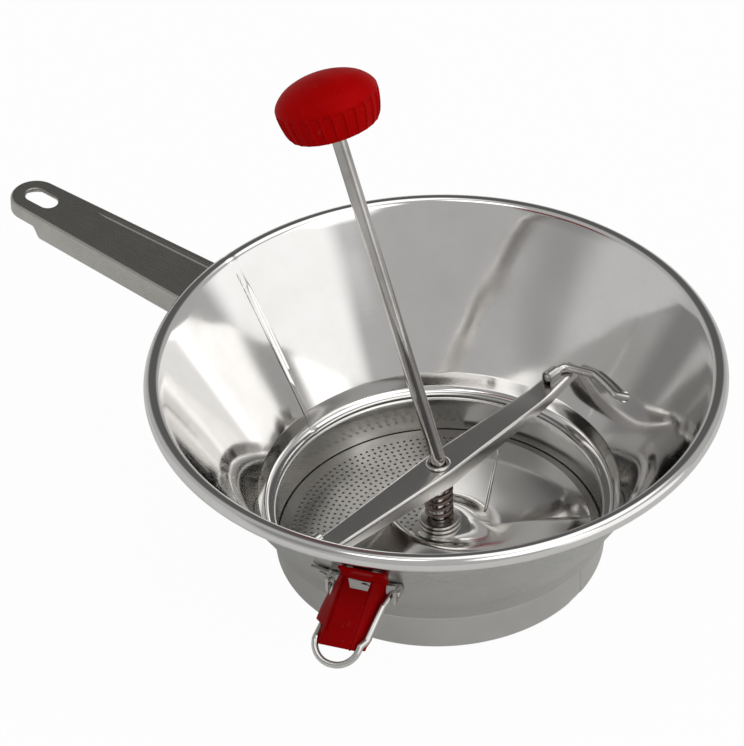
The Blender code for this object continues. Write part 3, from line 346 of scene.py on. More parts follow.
MIRROR = steel("bowl_mirror", (0.81, 0.80, 0.79), (0.76, 0.75, 0.735), 0.09, 0.03, wave=0.00036,
               lines=0.0000008)
OUTSIDE = steel("bowl_outside", (0.55, 0.545, 0.52), (0.50, 0.495, 0.475), 0.26, 0.04, wave=0.00016,
                wave_scale=18.0, lines=0.0000012)
BAND_STEEL = steel("band_steel", (0.70, 0.69, 0.67), (0.64, 0.63, 0.61), 0.18, 0.04, wave=0.00012,
                   lines=0.000001)
RIM_STEEL = steel("rim_steel", (0.57, 0.56, 0.54), (0.48, 0.47, 0.45), 0.16, 0.03, wave=0.00008,
                  lines=0.0000006)
SIEVE_STEEL = steel("sieve_steel", (0.39, 0.38, 0.36), (0.30, 0.29, 0.275), 0.24, 0.06, wave=0.00006,
                    grain=0.000004, fleck=0.3)
BAR_STEEL = steel("bar_steel", (0.78, 0.765, 0.75), (0.64, 0.625, 0.61), 0.22, 0.05, wave=0.00005,
                  grain=0.000006, fleck=0.25, lines=0.0000008, stretch=(1.0, 0.08, 1.0))
HANDLE_STEEL = steel("handle_steel", (0.56, 0.55, 0.515), (0.47, 0.46, 0.43), 0.27, 0.06, wave=0.00008,
                     grain=0.000004, fleck=0.1, lines=0.0000015, stretch=(0.03, 1.0, 1.0))
ROD_STEEL = steel("rod_steel", (0.60, 0.58, 0.56), (0.40, 0.385, 0.37), 0.11, 0.04, lines=0.0000006,
                  stretch=(1.0, 1.0, 0.05))
WIRE_STEEL = steel("wire_steel", (0.70, 0.69, 0.67), (0.55, 0.54, 0.52), 0.20, 0.05, grain=0.000003)
BLADE_STEEL = steel("blade_steel", (0.80, 0.79, 0.77), (0.72, 0.71, 0.69), 0.11, 0.03, wave=0.00022,
                    wave_scale=34.0, lines=0.000001, line=((0.009, 0.0194), (-0.0124, 0.0567), 0.0005))
FITTING_STEEL = steel("fitting_steel", (0.58, 0.56, 0.54), (0.44, 0.42, 0.40), 0.24, 0.06,
                      grain=0.000003, fleck=0.3)
SPRING_STEEL = steel("spring_steel", (0.22, 0.17, 0.15), (0.12, 0.085, 0.075), 0.34, 0.08,
                     grain=0.000005, fleck=0.2)
RED_PAINT = red("latch_red", (0.34, 0.0010, 0.002), (0.27, 0.0008, 0.0015), 0.34, 0.0000012, 0.03)
RED_PLASTIC = red("knob_red", (0.47, 0.0015, 0.002), (0.40, 0.001, 0.0015), 0.42, 0.0000010, 0.02)


# Mesh pieces

def mesh_object(name, shape, place):
    """A bmesh as an object of the scene, moved to the bowl's axis."""
    bmesh.ops.recalc_face_normals(shape, faces=shape.faces)
    mesh = bpy.data.meshes.new(name)
    shape.to_mesh(mesh)
    shape.free()
    if place:
        mesh.transform(place)
    made = bpy.data.objects.new(name, mesh)
    SCENE.collection.objects.link(made)
    made.location = AXIS
    return made


def smooth(made, sharp=35):
    made.data.shade_smooth()
    made.data.set_sharp_from_angle(angle=radians(sharp))


def piece(name, shape, surfaces, node=None, body="bowl", place=None, sharp=35):
    """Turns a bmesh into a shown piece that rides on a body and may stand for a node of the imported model."""
    made = mesh_object(name, shape, place)
    for surface in surfaces if isinstance(surfaces, tuple) else (surfaces,):
        made.data.materials.append(surface)
    smooth(made, sharp)
    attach(made, body)
    if node:
        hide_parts(node)
    return made


def settle(made):
    """Replaces a piece's mesh by what its modifiers make of it."""
    bpy.context.view_layer.update()
    result = bpy.data.meshes.new_from_object(made.evaluated_get(bpy.context.evaluated_depsgraph_get()))
    made.modifiers.clear()
    made.data = result


def bevel(made, width, segments, limit=30):
    edge = made.modifiers.new("edge", "BEVEL")
    edge.width, edge.segments = width, segments
    edge.limit_method = "ANGLE"
    edge.angle_limit = radians(limit)


def cut_out(made, shape, place=None):
    """Cuts a bmesh out of a piece and leaves no cutter behind."""
    cutter = mesh_object("cutter", shape, place)
    modifier = made.modifiers.new("cut", "BOOLEAN")
    modifier.operation = "DIFFERENCE"
    modifier.solver = "EXACT"
    modifier.object = cutter
    settle(made)
    bpy.data.objects.remove(cutter, do_unlink=True)
    smooth(made)


def rounded(corners, radii, steps=6):
    """A path through corners, in two or three dimensions, each inner corner rounded."""
    corners = [Vector(corner) for corner in corners]
    path = [corners[0]]
    for before, corner, after, radius in zip(corners, corners[1:], corners[2:], radii):
        into = (corner - before).normalized()
        out = (after - corner).normalized()
        turn = into.angle(out)
        if radius == 0 or turn < 1e-4:
            path.append(corner)
            continue
        start = corner - into * (radius * tan(turn / 2))
        side = (out - into * into.dot(out)).normalized()
        centre = start + side * radius
        for step in range(steps + 1):
            angle = turn * step / steps
            path.append(centre - side * radius * cos(angle) + into * radius * sin(angle))
    path.append(corners[-1])
    return path


def filled(path, longest):
    """The same path with points added on its long stretches."""
    dense = [path[0]]
    for before, after in zip(path, path[1:]):
        count = max(1, ceil((after - before).length / longest))
        for step in range(1, count + 1):
            dense.append(before.lerp(after, step / count))
    return dense


def grid(rings, closed_path=False, caps=False):
    """A bmesh through closed rings of points; single-point rings close it on an axis."""
    shape = bmesh.new()
    made = [[shape.verts.new(point) for point in ring] for ring in rings]
    pairs = list(zip(made, made[1:]))
    if closed_path:
        pairs.append((made[-1], made[0]))
    for lower, upper in pairs:
        count = max(len(lower), len(upper))
        for step in range(count):
            after = (step + 1) % count
            if len(lower) == 1:
                shape.faces.new((lower[0], upper[after], upper[step]))
            elif len(upper) == 1:
                shape.faces.new((lower[step], lower[after], upper[0]))
            else:
                shape.faces.new((lower[step], lower[after], upper[after], upper[step]))
    if caps:
        shape.faces.new(made[0])
        shape.faces.new(made[-1])
    return shape


def turned(outline, headings, closed=True, change=None):
    """A solid of revolution whose radius may change with heading and height."""
    if isinstance(headings, int):
        headings = [360 * step / headings for step in range(headings)]
    rings = []
    for radius, height in outline:
        if radius == 0:
            rings.append([Vector((0, 0, height))])
        else:
            rings.append([polar(radius + (change(radius, heading, height) if change else 0), heading, height)
                          for heading in headings])
    return grid(rings, closed_path=closed)


def washer(outer, low, high, soft, sides, inner=SHAFT_BORE):
    """A ring with softened edges."""
    path = rounded([(inner, low), (outer, low), (outer, high), (inner, high)], [soft, soft], 4)
    return turned([(inner + soft / 2, low), *path[1:-1], (inner + soft / 2, high),
                   (inner, high - soft / 2), (inner, low + soft / 2)], sides)


def tube(path, radius, sides, round_ends=0.0):
    """A round rod along a path, its rings carried on without twist."""
    path = [Vector(point) for point in path]
    reaches = [radius] * len(path)
    if round_ends:
        first, last = path[0], path[-1]
        into, out = (path[1] - first).normalized(), (path[-2] - last).normalized()
        soft = [(share * round_ends, radius - round_ends * (1 - sqrt(1 - (1 - share) ** 2)))
                for share in (0.0, 0.15, 0.4, 0.7, 1.0)]
        path = ([first + into * along for along, _ in soft] + path[1:-1]
                + [last + out * along for along, _ in reversed(soft)])
        reaches = [reach for _, reach in soft] + reaches[1:-1] + [reach for _, reach in reversed(soft)]
    tangents = [(path[min(i + 1, len(path) - 1)] - path[max(i - 1, 0)]).normalized()
                for i in range(len(path))]
    across = tangents[0].orthogonal().normalized()
    turns = [(cos(tau * side / sides), sin(tau * side / sides)) for side in range(sides)]
    rings = []
    for point, tangent, reach in zip(path, tangents, reaches):
        across = (across - tangent * across.dot(tangent)).normalized()
        other = tangent.cross(across)
        rings.append([point + (across * x + other * y) * reach for x, y in turns])
    return grid(rings, caps=True)


def block(low, high):
    (x0, y0, z0), (x1, y1, z1) = low, high
    corners = ((x0, y0), (x1, y0), (x1, y1), (x0, y1))
    return grid([[Vector((x, y, z)) for x, y in corners] for z in (z0, z1)], caps=True)


# Bowl and band

def curl(radius, steps):
    start = 180 - degrees(WALL_LEAN)
    angles = [radians(start + (CURL_END - start) * step / steps) for step in range(steps + 1)]
    return [Vector((CURL_CENTRE[0] + radius * cos(a), CURL_CENTRE[1] + radius * sin(a))) for a in angles]


def lap_headings(seam, edges):
    """Headings round the bowl or the band, with two close ones at each step of its lap."""
    headings = [360 * step / ROUND_STEPS for step in range(ROUND_STEPS)]
    headings = [h for h in headings if all(abs(h - seam - edge) > SEAM_CLEAR for edge in edges)]
    for edge in edges:
        headings += [seam + edge - SEAM_EDGE, seam + edge + SEAM_EDGE]
    return sorted(h % 360 for h in headings)


def bowl_lap(radius, heading, height):
    """The lap: a step inwards at the seam, a lesser step back, then a slow fade."""
    behind = SEAM_HEADING - heading
    if not 0 < behind < SEAM_FADE:
        return 0
    fade = smooth_share((behind - SEAM_WIDTH) / (SEAM_FADE - SEAM_WIDTH))
    depth = SEAM_LAP * (1 if behind < SEAM_WIDTH else SEAM_REST * (1 - fade))
    top = smooth_share((height - RIM_HEIGHT + 3.2 * CURL_RADIUS) / CURL_RADIUS)
    return -depth * (1 - SEAM_RIM_LOSS * top)


def make_bowl():
    floor = FOOT_HEIGHT + SHEET
    inside = rounded([(FOOT_INNER_RADIUS, floor), (STEP_RADIUS - SHEET, floor),
                      (CREASE_RADIUS - WALL_SPAN, CREASE_HEIGHT), curl(CURL_RADIUS, 2)[0]],
                     [STEP_SOFT, CREASE_SOFT], 12)
    outside = rounded([curl(CURL_RADIUS - SHEET, 2)[0], (CREASE_RADIUS, CREASE_HEIGHT),
                       (STEP_RADIUS, FOOT_HEIGHT), (FOOT_INNER_RADIUS, FOOT_HEIGHT)],
                      [OUTER_CREASE_SOFT, OUTER_STEP_SOFT], 8)
    skin = filled(inside, PATH_STEP)[:-1] + curl(CURL_RADIUS, 26)
    back = curl(CURL_RADIUS - SHEET, 16)[::-1][:-1] + filled(outside, PATH_STEP)
    shape = turned(skin + back, lap_headings(SEAM_HEADING, (0, -SEAM_WIDTH)), change=bowl_lap)
    shell = piece("bowl_shell", shape, (MIRROR, OUTSIDE), "bowl_cone")

    # The tongue's slot and the far arm's hole go through the wall
    low = TONGUE_HEIGHT - HINGE_HEIGHT
    half = TONGUE_WIDTH / 2 + TONGUE_PLAY
    reach_in = wall_inner(TONGUE_HEIGHT) - TONGUE_REACH - HINGE_RADIUS - SLOT_PAST
    cut_out(shell, block((-half, low - TONGUE_PLAY, reach_in),
                         (half, low + LEVER_SHEET + TONGUE_PLAY, knee_out() + SLOT_PAST)), latch_place())
    tip = far_tip()
    along = (tip - far_arm()[-1]).normalized()
    cut_out(shell, tube([tip - along * TIP_HOLE_IN, tip + along * TIP_HOLE_OUT], ARM_RADIUS + 2 * GAP, 24))

    # The wall's outer skin and the foot are duller than the inside and the rim
    for polygon in shell.data.polygons:
        x, y, z = polygon.center
        if z > CREASE_HEIGHT:
            middle = wall_outer(z) - WALL_SPAN / 2
        else:
            middle = STEP_RADIUS - SHEET / 2 + (CREASE_RADIUS - STEP_RADIUS) * (z - FOOT_HEIGHT) / (
                CREASE_HEIGHT - FOOT_HEIGHT)
        outer_skin = z < RIM_HEIGHT - MIRROR_LOW and hypot(x, y) > middle - SHEET / 2
        polygon.material_index = 1 if outer_skin or z < FOOT_HEIGHT + SHEET / 2 else 0


def band_lap(radius, heading, height):
    behind = BAND_SEAM_HEADING - heading
    if radius < BAND_RADIUS - 2 * BAND_SHEET or not 0 < behind < BAND_SEAM_FADE:
        return 0
    return -BAND_LAP * (1 - smooth_share((behind - 1) / (BAND_SEAM_FADE - 1)))


def make_band():
    lip_low, inner_radius = BAND_HEIGHT - BAND_SHEET, BAND_RADIUS - BAND_SHEET
    outer = rounded([(BAND_RADIUS - SEAT_WIDTH, 0), (BAND_RADIUS, 0), (BAND_RADIUS, lip_low),
                     (LIP_RADIUS, lip_low)], [BAND_FOOT_SOFT, LIP_OUTER_SOFT], 6)
    edge = rounded([(LIP_RADIUS, lip_low), (LIP_RADIUS + LIP_BULGE, BAND_HEIGHT - BAND_SHEET / 2),
                    (LIP_RADIUS, BAND_HEIGHT)], [LIP_EDGE_SOFT], 3)
    inner = rounded([(LIP_RADIUS, BAND_HEIGHT), (inner_radius, BAND_HEIGHT), (inner_radius, BAND_SHEET),
                     (BAND_RADIUS - SEAT_WIDTH, BAND_SHEET)], [LIP_INNER_SOFT, BAND_SEAT_SOFT], 6)
    path = filled(outer, PATH_STEP)[:-1] + edge[:-1] + filled(inner, PATH_STEP)
    shape = turned(path, lap_headings(BAND_SEAM_HEADING, (0,)), change=band_lap)
    piece("band_shell", shape, BAND_STEEL, "base_band")


# Sieve

def hole_middles():
    middles = []
    ring = 0
    radius = HOLE_OUTER
    while radius > HOLE_INNER:
        count = int(tau * radius / HOLE_SPACING)
        for index in range(count):
            middles.append(polar(radius, 360 * (index + ring % 2 / 2) / count, 0))
        ring += 1
        radius -= HOLE_RING_PITCH
    return middles


def make_sieve():
    """A flat disc, triangulated round its holes and given thickness."""
    points, edges = [], []

    def loop(middle, radius, sides, turn=0.0):
        first = len(points)
        for side in range(sides):
            corner = polar(radius, 360 * side / sides + turn, 0) + middle
            points.append(Vector((corner.x, corner.y)))
            edges.append((first + side, first + (side + 1) % sides))

    loop(Vector((0, 0, 0)), DISC_RADIUS, 192)
    loop(Vector((0, 0, 0)), SHAFT_BORE, 32)
    cells = {}
    for middle in hole_middles():
        loop(middle, HOLE_RADIUS, HOLE_SIDES, degrees(atan2(middle.y, middle.x)))
        cells.setdefault((round(middle.x / HOLE_SPACING), round(middle.y / HOLE_SPACING)), []).append(middle)
    result = delaunay_2d_cdt(points, edges, [], 0, 1e-7)
    flat, triangles = result[0], result[2]

    def in_hole(spot):
        if not SHAFT_BORE <= spot.length <= DISC_RADIUS:
            return True
        column, row = round(spot.x / HOLE_SPACING), round(spot.y / HOLE_SPACING)
        near = [middle for i in (-1, 0, 1) for j in (-1, 0, 1)
                for middle in cells.get((column + i, row + j), ())]
        return any(hypot(middle.x - spot.x, middle.y - spot.y) < HOLE_RADIUS * 0.9 for middle in near)

    kept = [t for t in triangles if not in_hole(sum((flat[i] for i in t), Vector((0, 0))) / len(t))]
    shape = bmesh.new()
    layers = []
    for height, flip in ((DISC_TOP, False), (DISC_LOW, True)):
        layer = {}
        for triangle in kept:
            for index in triangle:
                if index not in layer:
                    layer[index] = shape.verts.new((flat[index].x, flat[index].y, height))
            corners = [layer[index] for index in triangle]
            shape.faces.new(corners[::-1] if flip else corners)
        layers.append(layer)
    high, low = layers
    sides = dict.fromkeys((a, b) for t in kept for a, b in zip(t, [*t[1:], t[0]]))
    for a, b in sides:
        if (b, a) not in sides:
            shape.faces.new((high[b], high[a], low[a], low[b]))
    piece("sieve_disc", shape, SIEVE_STEEL, "perforated_disc")


# Crossbar and its arms

def bar_top(along):
    share = (abs(along) - BAR_RISE_START) / (BAR_HALF_LENGTH - BAR_RISE_START)
    return BAR_TOP + BAR_END_RISE * smooth_share(share) if share > 0 else BAR_TOP


def channel_ring(along, top, half, depth):
    """Closed section of the crossbar's channel, open downwards, its bends rounded."""
    foot, low, inner_half = top - depth, top - BAR_SHEET, half - BAR_SHEET
    outer = rounded([(-half, foot), (-half, top), (half, top), (half, foot)], [BAR_SOFT] * 2, 6)
    inner = rounded([(inner_half, foot), (inner_half, low), (-inner_half, low), (-inner_half, foot)],
                    [BAR_SOFT - BAR_SHEET] * 2, 6)
    outer = outer[:8] + [outer[7].lerp(outer[8], share) for share in (0.08, 0.92)] + outer[8:]
    return [Vector((along, y, z)) for y, z in outer + inner]


def make_bar():
    rings = []
    for step in range(-BAR_STEPS, BAR_STEPS + 1):
        along = BAR_HALF_LENGTH * step / BAR_STEPS
        share = 1 - abs(along) / BAR_HALF_LENGTH
        width = BAR_END_WIDTH + (BAR_MID_WIDTH - BAR_END_WIDTH) * share
        depth = BAR_END_DEPTH + (BAR_MID_DEPTH - BAR_END_DEPTH) * share
        rings.append(channel_ring(along, bar_top(along), width / 2, depth))
    place = about_upright(BAR_HEADING)
    bar = piece("bar_channel", grid(rings, caps=True), BAR_STEEL, "crossbar", place=place)
    wall, low, top = SHAFT_BORE + BUSH_WALL, CUP_TOP + GAP, BAR_TOP + GAP
    cut_out(bar, tube([(0, 0, BAR_TOP - BAR_CUT), (0, 0, BAR_TOP + BAR_CUT)], wall + GAP, 32))

    bush = [(SHAFT_BORE, low), (wall, low), (wall, top), (BUSH_FLANGE_RADIUS, top)]
    bush += [(radius, top + BUSH_FLANGE * share) for radius, share in (
        (BUSH_FLANGE_RADIUS, 0.5), (BUSH_FLANGE_RADIUS - 0.0004, 0.9), (BUSH_FLANGE_RADIUS - BUSH_SOFT, 1),
        (SHAFT_BORE + BUSH_BORE_SOFT, 1), (SHAFT_BORE, 0.7))]
    piece("bush_ring", turned(bush, 48), FITTING_STEEL, "shaft_bush")


def arm_line(end, end_heading, climb, tail_length):
    """An arm's path from its tail on the crossbar, round its turn and along the wall."""
    start_heading = BAR_HEADING if end > 0 else BAR_HEADING + 180
    turn_radius = BAR_HALF_LENGTH - ARM_TURN_RADIUS
    corner = polar(turn_radius, start_heading, ARM_HEIGHT)
    tail = polar(turn_radius - tail_length, start_heading, ARM_HEIGHT)
    wall_start = start_heading - end * ARM_TURN_HEADING
    wall = []
    for step in range(ARM_STEPS + 1):
        heading = wall_start + (end_heading - wall_start) * step / ARM_STEPS
        height = ARM_HEIGHT + climb * step / ARM_STEPS
        wall.append(polar(wall_inner(height) - ARM_WALL_GAP - ARM_RADIUS, heading, height))
    return rounded([tail, corner, wall[0]], [ARM_TURN_RADIUS], 10)[:-1] + wall


def far_arm():
    return arm_line(1, FAR_ARM_END, 0, ARM_TAIL)


def far_tip():
    return polar(wall_inner(ARM_HEIGHT) + FAR_ARM_TIP, FAR_ARM_END - FAR_TIP_TURN, ARM_HEIGHT)


def make_arms():
    far = far_arm()
    far = far[:-1] + rounded([far[-2], far[-1], far_tip()], [ARM_TURN_RADIUS / 2], 6)[1:]
    near = arm_line(-1, NEAR_ARM_END, NEAR_ARM_CLIMB, NEAR_ARM_TAIL)
    for word, path in (("far", far), ("near", near)):
        piece("arm_rod_" + word, tube(path, ARM_RADIUS, 20, ARM_END_SOFT), WIRE_STEEL, "arm_" + word)


def make_saddles():
    """Rounded saddles that hold the arms' tails on the bar."""
    inner, outer = ARM_RADIUS + GAP, ARM_RADIUS + GAP + SADDLE_SHEET
    arc = [(cos(radians(a)), sin(radians(a))) for a in range(0, 181, 15)]
    for end, word, length in ((1, "far", FAR_SADDLE), (-1, "near", NEAR_SADDLE)):
        rings = []
        for share, soft in ((0, SADDLE_SOFT), (0.06, 0), (0.94, 0), (1, SADDLE_SOFT)):
            along = BAR_HALF_LENGTH - SADDLE_END - length * (1 - share)
            foot = bar_top(along) + GAP - ARM_HEIGHT
            reach = outer - soft
            ring = [(reach, foot), *((x * reach, y * reach) for x, y in arc), (-reach, foot), (-inner, foot),
                    *((x * inner, y * inner) for x, y in reversed(arc)), (inner, foot)]
            rings.append([Vector((end * along, x, ARM_HEIGHT + y)) for x, y in ring])
        piece("saddle_" + word, grid(rings, caps=True), WIRE_STEEL, "arm_clip_" + word,
              place=about_upright(BAR_HEADING))


# Handle and rivets

def handle_place():
    slope = atan(HANDLE_RISE / (HANDLE_REACH - RIM_RADIUS))
    return (Matrix.Translation(polar(RIM_RADIUS, 180, HANDLE_TOP)) @ Matrix.Rotation(pi, 4, "Z")
            @ Matrix.Rotation(-slope, 4, "Y") @ Matrix.Translation((-RIM_RADIUS, 0, 0)))


def handle_ring(inset, height, drop=0.0):
    """One ring of the handle: across the bowl's wall, along a side, round the end and back.

    Its height is a number, or None for the lower edge, which is higher at the far end."""
    end_middle = HANDLE_REACH - HANDLE_END_HALF_WIDTH
    root_half, end_half = HANDLE_ROOT_HALF_WIDTH - inset, HANDLE_END_HALF_WIDTH - inset
    relief, slope = HANDLE_REACH - HANDLE_RELIEF, HANDLE_RELIEF_SLOPE

    def level(x):
        if height is not None:
            return height
        return -HANDLE_DEPTH + (HANDLE_DEPTH - HANDLE_END_DEPTH) * smooth_share((x - relief + slope) / slope)

    root_level = -HANDLE_DEPTH if height is None else height
    reach = wall_outer(HANDLE_TOP + root_level) + (GAP + inset) / cos(WALL_LEAN)
    root = [(sqrt(reach ** 2 - y ** 2), y) for y in (root_half * (1 - step / 6) for step in range(13))]
    corner = root[-1][0]
    stops = [corner + (relief - slope - corner) * step / 14 for step in range(1, 15)]
    stops += [relief - slope * (1 - step / 6) for step in range(1, 7)]
    stops += [relief + (end_middle - relief) * step / 6 for step in range(1, 6)]
    side = [(x, -(root_half + (end_half - root_half) * (x - corner) / (end_middle - corner))) for x in stops]
    angles = [pi * (step / 32 - 0.5) for step in range(33)]
    end = [(end_middle + end_half * cos(angle), end_half * sin(angle)) for angle in angles]
    outline = root + side + end + [(x, -y) for x, y in reversed(side)]
    return [Vector((x, y, level(x))) - Vector((0, 0, drop)) for x, y in outline]


def slot_ring(extra, height, steps=40):
    straight = (HANG_HOLE_LENGTH - HANG_HOLE_WIDTH) / 2
    radius = HANG_HOLE_WIDTH / 2 + extra
    ring = []
    for step in range(steps):
        angle = tau * (step + 0.5) / steps
        ring.append(Vector((HANDLE_REACH - HANG_HOLE_INSET + copysign(straight, cos(angle))
                            + radius * cos(angle), radius * sin(angle), height)))
    return ring


def add_plate(shape, outer, hole):
    """Fills the flat area between an outer ring and a hole's ring of vertices."""
    edges = []
    for ring in (outer, hole):
        for before, after in zip(ring, ring[1:] + ring[:1]):
            edges.append(shape.edges.get((before, after)) or shape.edges.new((before, after)))
    bmesh.ops.triangle_fill(shape, use_beauty=True, edges=edges)


def make_handle():
    soft, edge = HANDLE_SOFT, HOLE_EDGE
    rings = [handle_ring(HANDLE_SHEET, -HANDLE_SHEET), handle_ring(HANDLE_SHEET, -2 * HANDLE_SHEET),
             handle_ring(HANDLE_SHEET, None), handle_ring(HANDLE_SHEET * 0.5, None, HANDLE_LOW_SOFT),
             handle_ring(0, None), handle_ring(0, -HANDLE_END_DEPTH * 0.8), handle_ring(0, -soft)]
    for step in range(1, 7):
        angle = pi / 2 * step / 6
        rings.append(handle_ring(soft * (1 - cos(angle)), -soft * (1 - sin(angle))))
    rings.append(handle_ring(soft + HANDLE_TOP_FLAT, 0))
    shape = grid(rings)
    corners, count = list(shape.verts), len(rings[0])
    holes = [slot_ring(edge + HOLE_FLAT, 0), slot_ring(edge, 0), slot_ring(edge * 0.3, -edge * 0.3),
             slot_ring(0, -edge), slot_ring(0, -HANDLE_SHEET)]
    wall = [[shape.verts.new(point) for point in ring] for ring in holes]
    for upper, lower in zip(wall, wall[1:]):
        for index in range(len(upper)):
            after = (index + 1) % len(upper)
            shape.faces.new((upper[index], upper[after], lower[after], lower[index]))
    add_plate(shape, corners[-count:], wall[0])
    add_plate(shape, corners[:count], wall[-1])
    piece("handle_shell", shape, HANDLE_STEEL, "handle", place=handle_place())

    # A pressed rib runs beside the far edge
    rib = []
    start, stop = RIM_RADIUS + RIB_START, HANDLE_REACH - RIB_INSET
    for step in range(RIB_STEPS + 1):
        x = start + (stop - start) * step / RIB_STEPS
        fade = min(1, step / 3, (RIB_STEPS - step) / 3)
        half_width = HANDLE_ROOT_HALF_WIDTH + (HANDLE_END_HALF_WIDTH - HANDLE_ROOT_HALF_WIDTH) * (
            x - RIM_RADIUS) / (HANDLE_REACH - RIM_RADIUS)
        middle = -half_width * RIB_PLACE
        rise, reach = RIB_RISE * fade, RIB_HALF_WIDTH * (0.4 + 0.6 * fade)
        rib.append([Vector((x, middle + reach * cos(pi * s / 8), rise * sin(pi * s / 8))) for s in range(9)]
                   + [Vector((x, middle, -RIB_ROOT))])
    piece("handle_rib", grid(rib, caps=True), HANDLE_STEEL, place=handle_place())


def make_rivets():
    """The strap's rivets, each a domed head on a shank through the wall."""
    height = (STRAP_LOW + STRAP_HIGH) / 2
    head, head_height = STRAP_RIVET_HEAD * RIVET_WIDTH_SHARE, STRAP_RIVET_HEAD_HEIGHT * RIVET_HEIGHT_SHARE
    back = STRAP_THICKNESS + 3 * GAP
    outline = [(0, -SHEET), (STRAP_RIVET_RADIUS, -SHEET), (STRAP_RIVET_RADIUS, back), (head, back)]
    for step in range(1, 8):
        angle = pi / 2 * step / 8
        outline.append((head * cos(angle) ** 0.8, back + head_height * sin(angle)))
    outline.append((0, back + head_height))
    for heading, word in ((STRAP_START + STRAP_RIVET_INSET, "left"), (LATCH_HEADING, "mid")):
        side = outward(heading) * cos(WALL_LEAN)
        away = Vector((side.x, side.y, -sin(WALL_LEAN)))
        turn = frame_at(polar(wall_outer(height), heading, height), Vector((0, 0, 1)).cross(away), away)
        piece("rivet_strap_" + word, turned(outline, 32, closed=False), FITTING_STEEL, "strap_rivet_" + word,
              place=turn)


# Crank, blade, spring and knob

def crank_direction():
    side = outward(CRANK_HEADING) * sin(radians(CRANK_LEAN))
    return Vector((side.x, side.y, cos(radians(CRANK_LEAN))))


def crank_corner():
    return Vector((0, 0, BEND_HEIGHT + BEND_RADIUS * tan(radians(CRANK_LEAN) / 2)))


def knob_place():
    middle = crank_corner() + crank_direction() * KNOB_DISTANCE
    return frame_at(middle, outward(CRANK_HEADING + 90), crank_direction())


def make_crank():
    top = crank_corner() + crank_direction() * (KNOB_DISTANCE + KNOB_BORE_DEPTH - 2 * RUN_GAP)
    path = rounded([Vector((0, 0, ROD_TIP_HEIGHT)), crank_corner(), top], [BEND_RADIUS], 10)
    piece("crank_bar", tube(filled(path, ROD_STEP), ROD_RADIUS, 36, ROD_END_SOFT), ROD_STEEL, "crank_rod",
          "crank")
    lower_top, thrust_top = LOWER_WASHER_LOW + WASHER_THICKNESS, THRUST_WASHER_LOW + WASHER_THICKNESS
    for name, node, body, *sizes in (
            ("hub_ring", "blade_hub", "crank", HUB_RADIUS, HUB_LOW, HUB_TOP, HUB_SOFT, 48),
            ("washer_lower", "lower_washer", "crank", LOWER_WASHER_RADIUS, LOWER_WASHER_LOW, lower_top,
             WASHER_SOFT, 56),
            ("washer_thrust", "thrust_washer", "float", THRUST_WASHER_RADIUS, THRUST_WASHER_LOW, thrust_top,
             WASHER_SOFT, 56),
            ("cup_spring", "spring_cup", "bowl", CUP_RADIUS, CUP_LOW, CUP_TOP, WASHER_SOFT, 56)):
        piece(name, washer(*sizes), FITTING_STEEL, node, body)


def blade_height(heading, radius):
    travelled = (BLADE_TRAILING - heading) - (BLADE_SWEEP - BLADE_LIFT_SPAN)
    outer = DISC_TOP + BLADE_CLEARANCE + BLADE_LIFT * max(0, travelled / BLADE_LIFT_SPAN)
    share = smooth_share((radius - COLLAR_RADIUS) / (SWEEP_START_RADIUS - COLLAR_RADIUS))
    return COLLAR_LOW + (outer - COLLAR_LOW) * share


def make_blade():
    """The blade's sheet with its thickness, as two skins of a grid joined at their edges."""
    radii = [SHAFT_BORE + (COLLAR_RADIUS - SHAFT_BORE) * step / 6 for step in range(6)]
    radii += [COLLAR_RADIUS + (BLADE_RADIUS - COLLAR_RADIUS) * step / 36 for step in range(37)]
    rings = []
    for ray in range(BLADE_RAYS + 1):
        heading = BLADE_TRAILING - BLADE_SWEEP * ray / BLADE_RAYS
        low = [polar(radius, heading, blade_height(heading, radius)) for radius in radii]
        rings.append(low + [point + Vector((0, 0, BLADE_SHEET)) for point in reversed(low)])
    piece("blade_sheet", grid(rings, caps=True), BLADE_STEEL, "blade", "crank")


def make_spring():
    """The spring: a coil of wire from its low end to its high end."""
    low, high = SPRING_LOW + SPRING_WIRE_RADIUS, SPRING_HIGH - SPRING_WIRE_RADIUS
    count = SPRING_TURNS * SPRING_STEPS
    path = [polar(SPRING_RADIUS, 360 * step / SPRING_STEPS, low + (high - low) * (step / count))
            for step in range(count + 1)]
    coil = piece("coil_spring", tube(path, SPRING_WIRE_RADIUS, 12), SPRING_STEEL, "spring")
    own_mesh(coil)


def knob_curve():
    """A smooth curve through the knob's outline, with more points at its widest."""
    curve = []
    last = len(KNOB_OUTLINE) - 1
    for index in range(last):
        near = [KNOB_OUTLINE[min(max(index + shift, 0), last)] for shift in (-1, 0, 1, 2)]
        count = 14 if 0.36 < near[1][1] < 0.6 else 6
        for step in range(count):
            t = step / count
            curve.append(tuple(0.5 * ((2 * b) + (c - a) * t + (2 * a - 5 * b + 4 * c - d) * t * t
                                      + (3 * b - a - 3 * c + d) * t ** 3) for a, b, c, d in zip(*near)))
    return curve + [KNOB_OUTLINE[-1]]


def knob_valley(radius, heading, height):
    """How far the skirt goes in between two ridges. Each valley ends in a flat arch above the widest ring."""
    up = height / KNOB_HEIGHT
    if radius < 0.80 * KNOB_RADIUS or up > 0.7:
        return 0
    phase = abs((heading * KNOB_FLUTES / 360) % 1 - 0.5) * 2       # 1 on a ridge, 0 in mid valley
    ridge = smooth_share((phase - 0.72) / 0.22)
    arch = smooth_share((0.60 - 0.07 * phase ** 3 - up) / 0.09)
    return -FLUTE_DEPTH * (1 - ridge) * arch * smooth_share((up + 0.05) / 0.16)


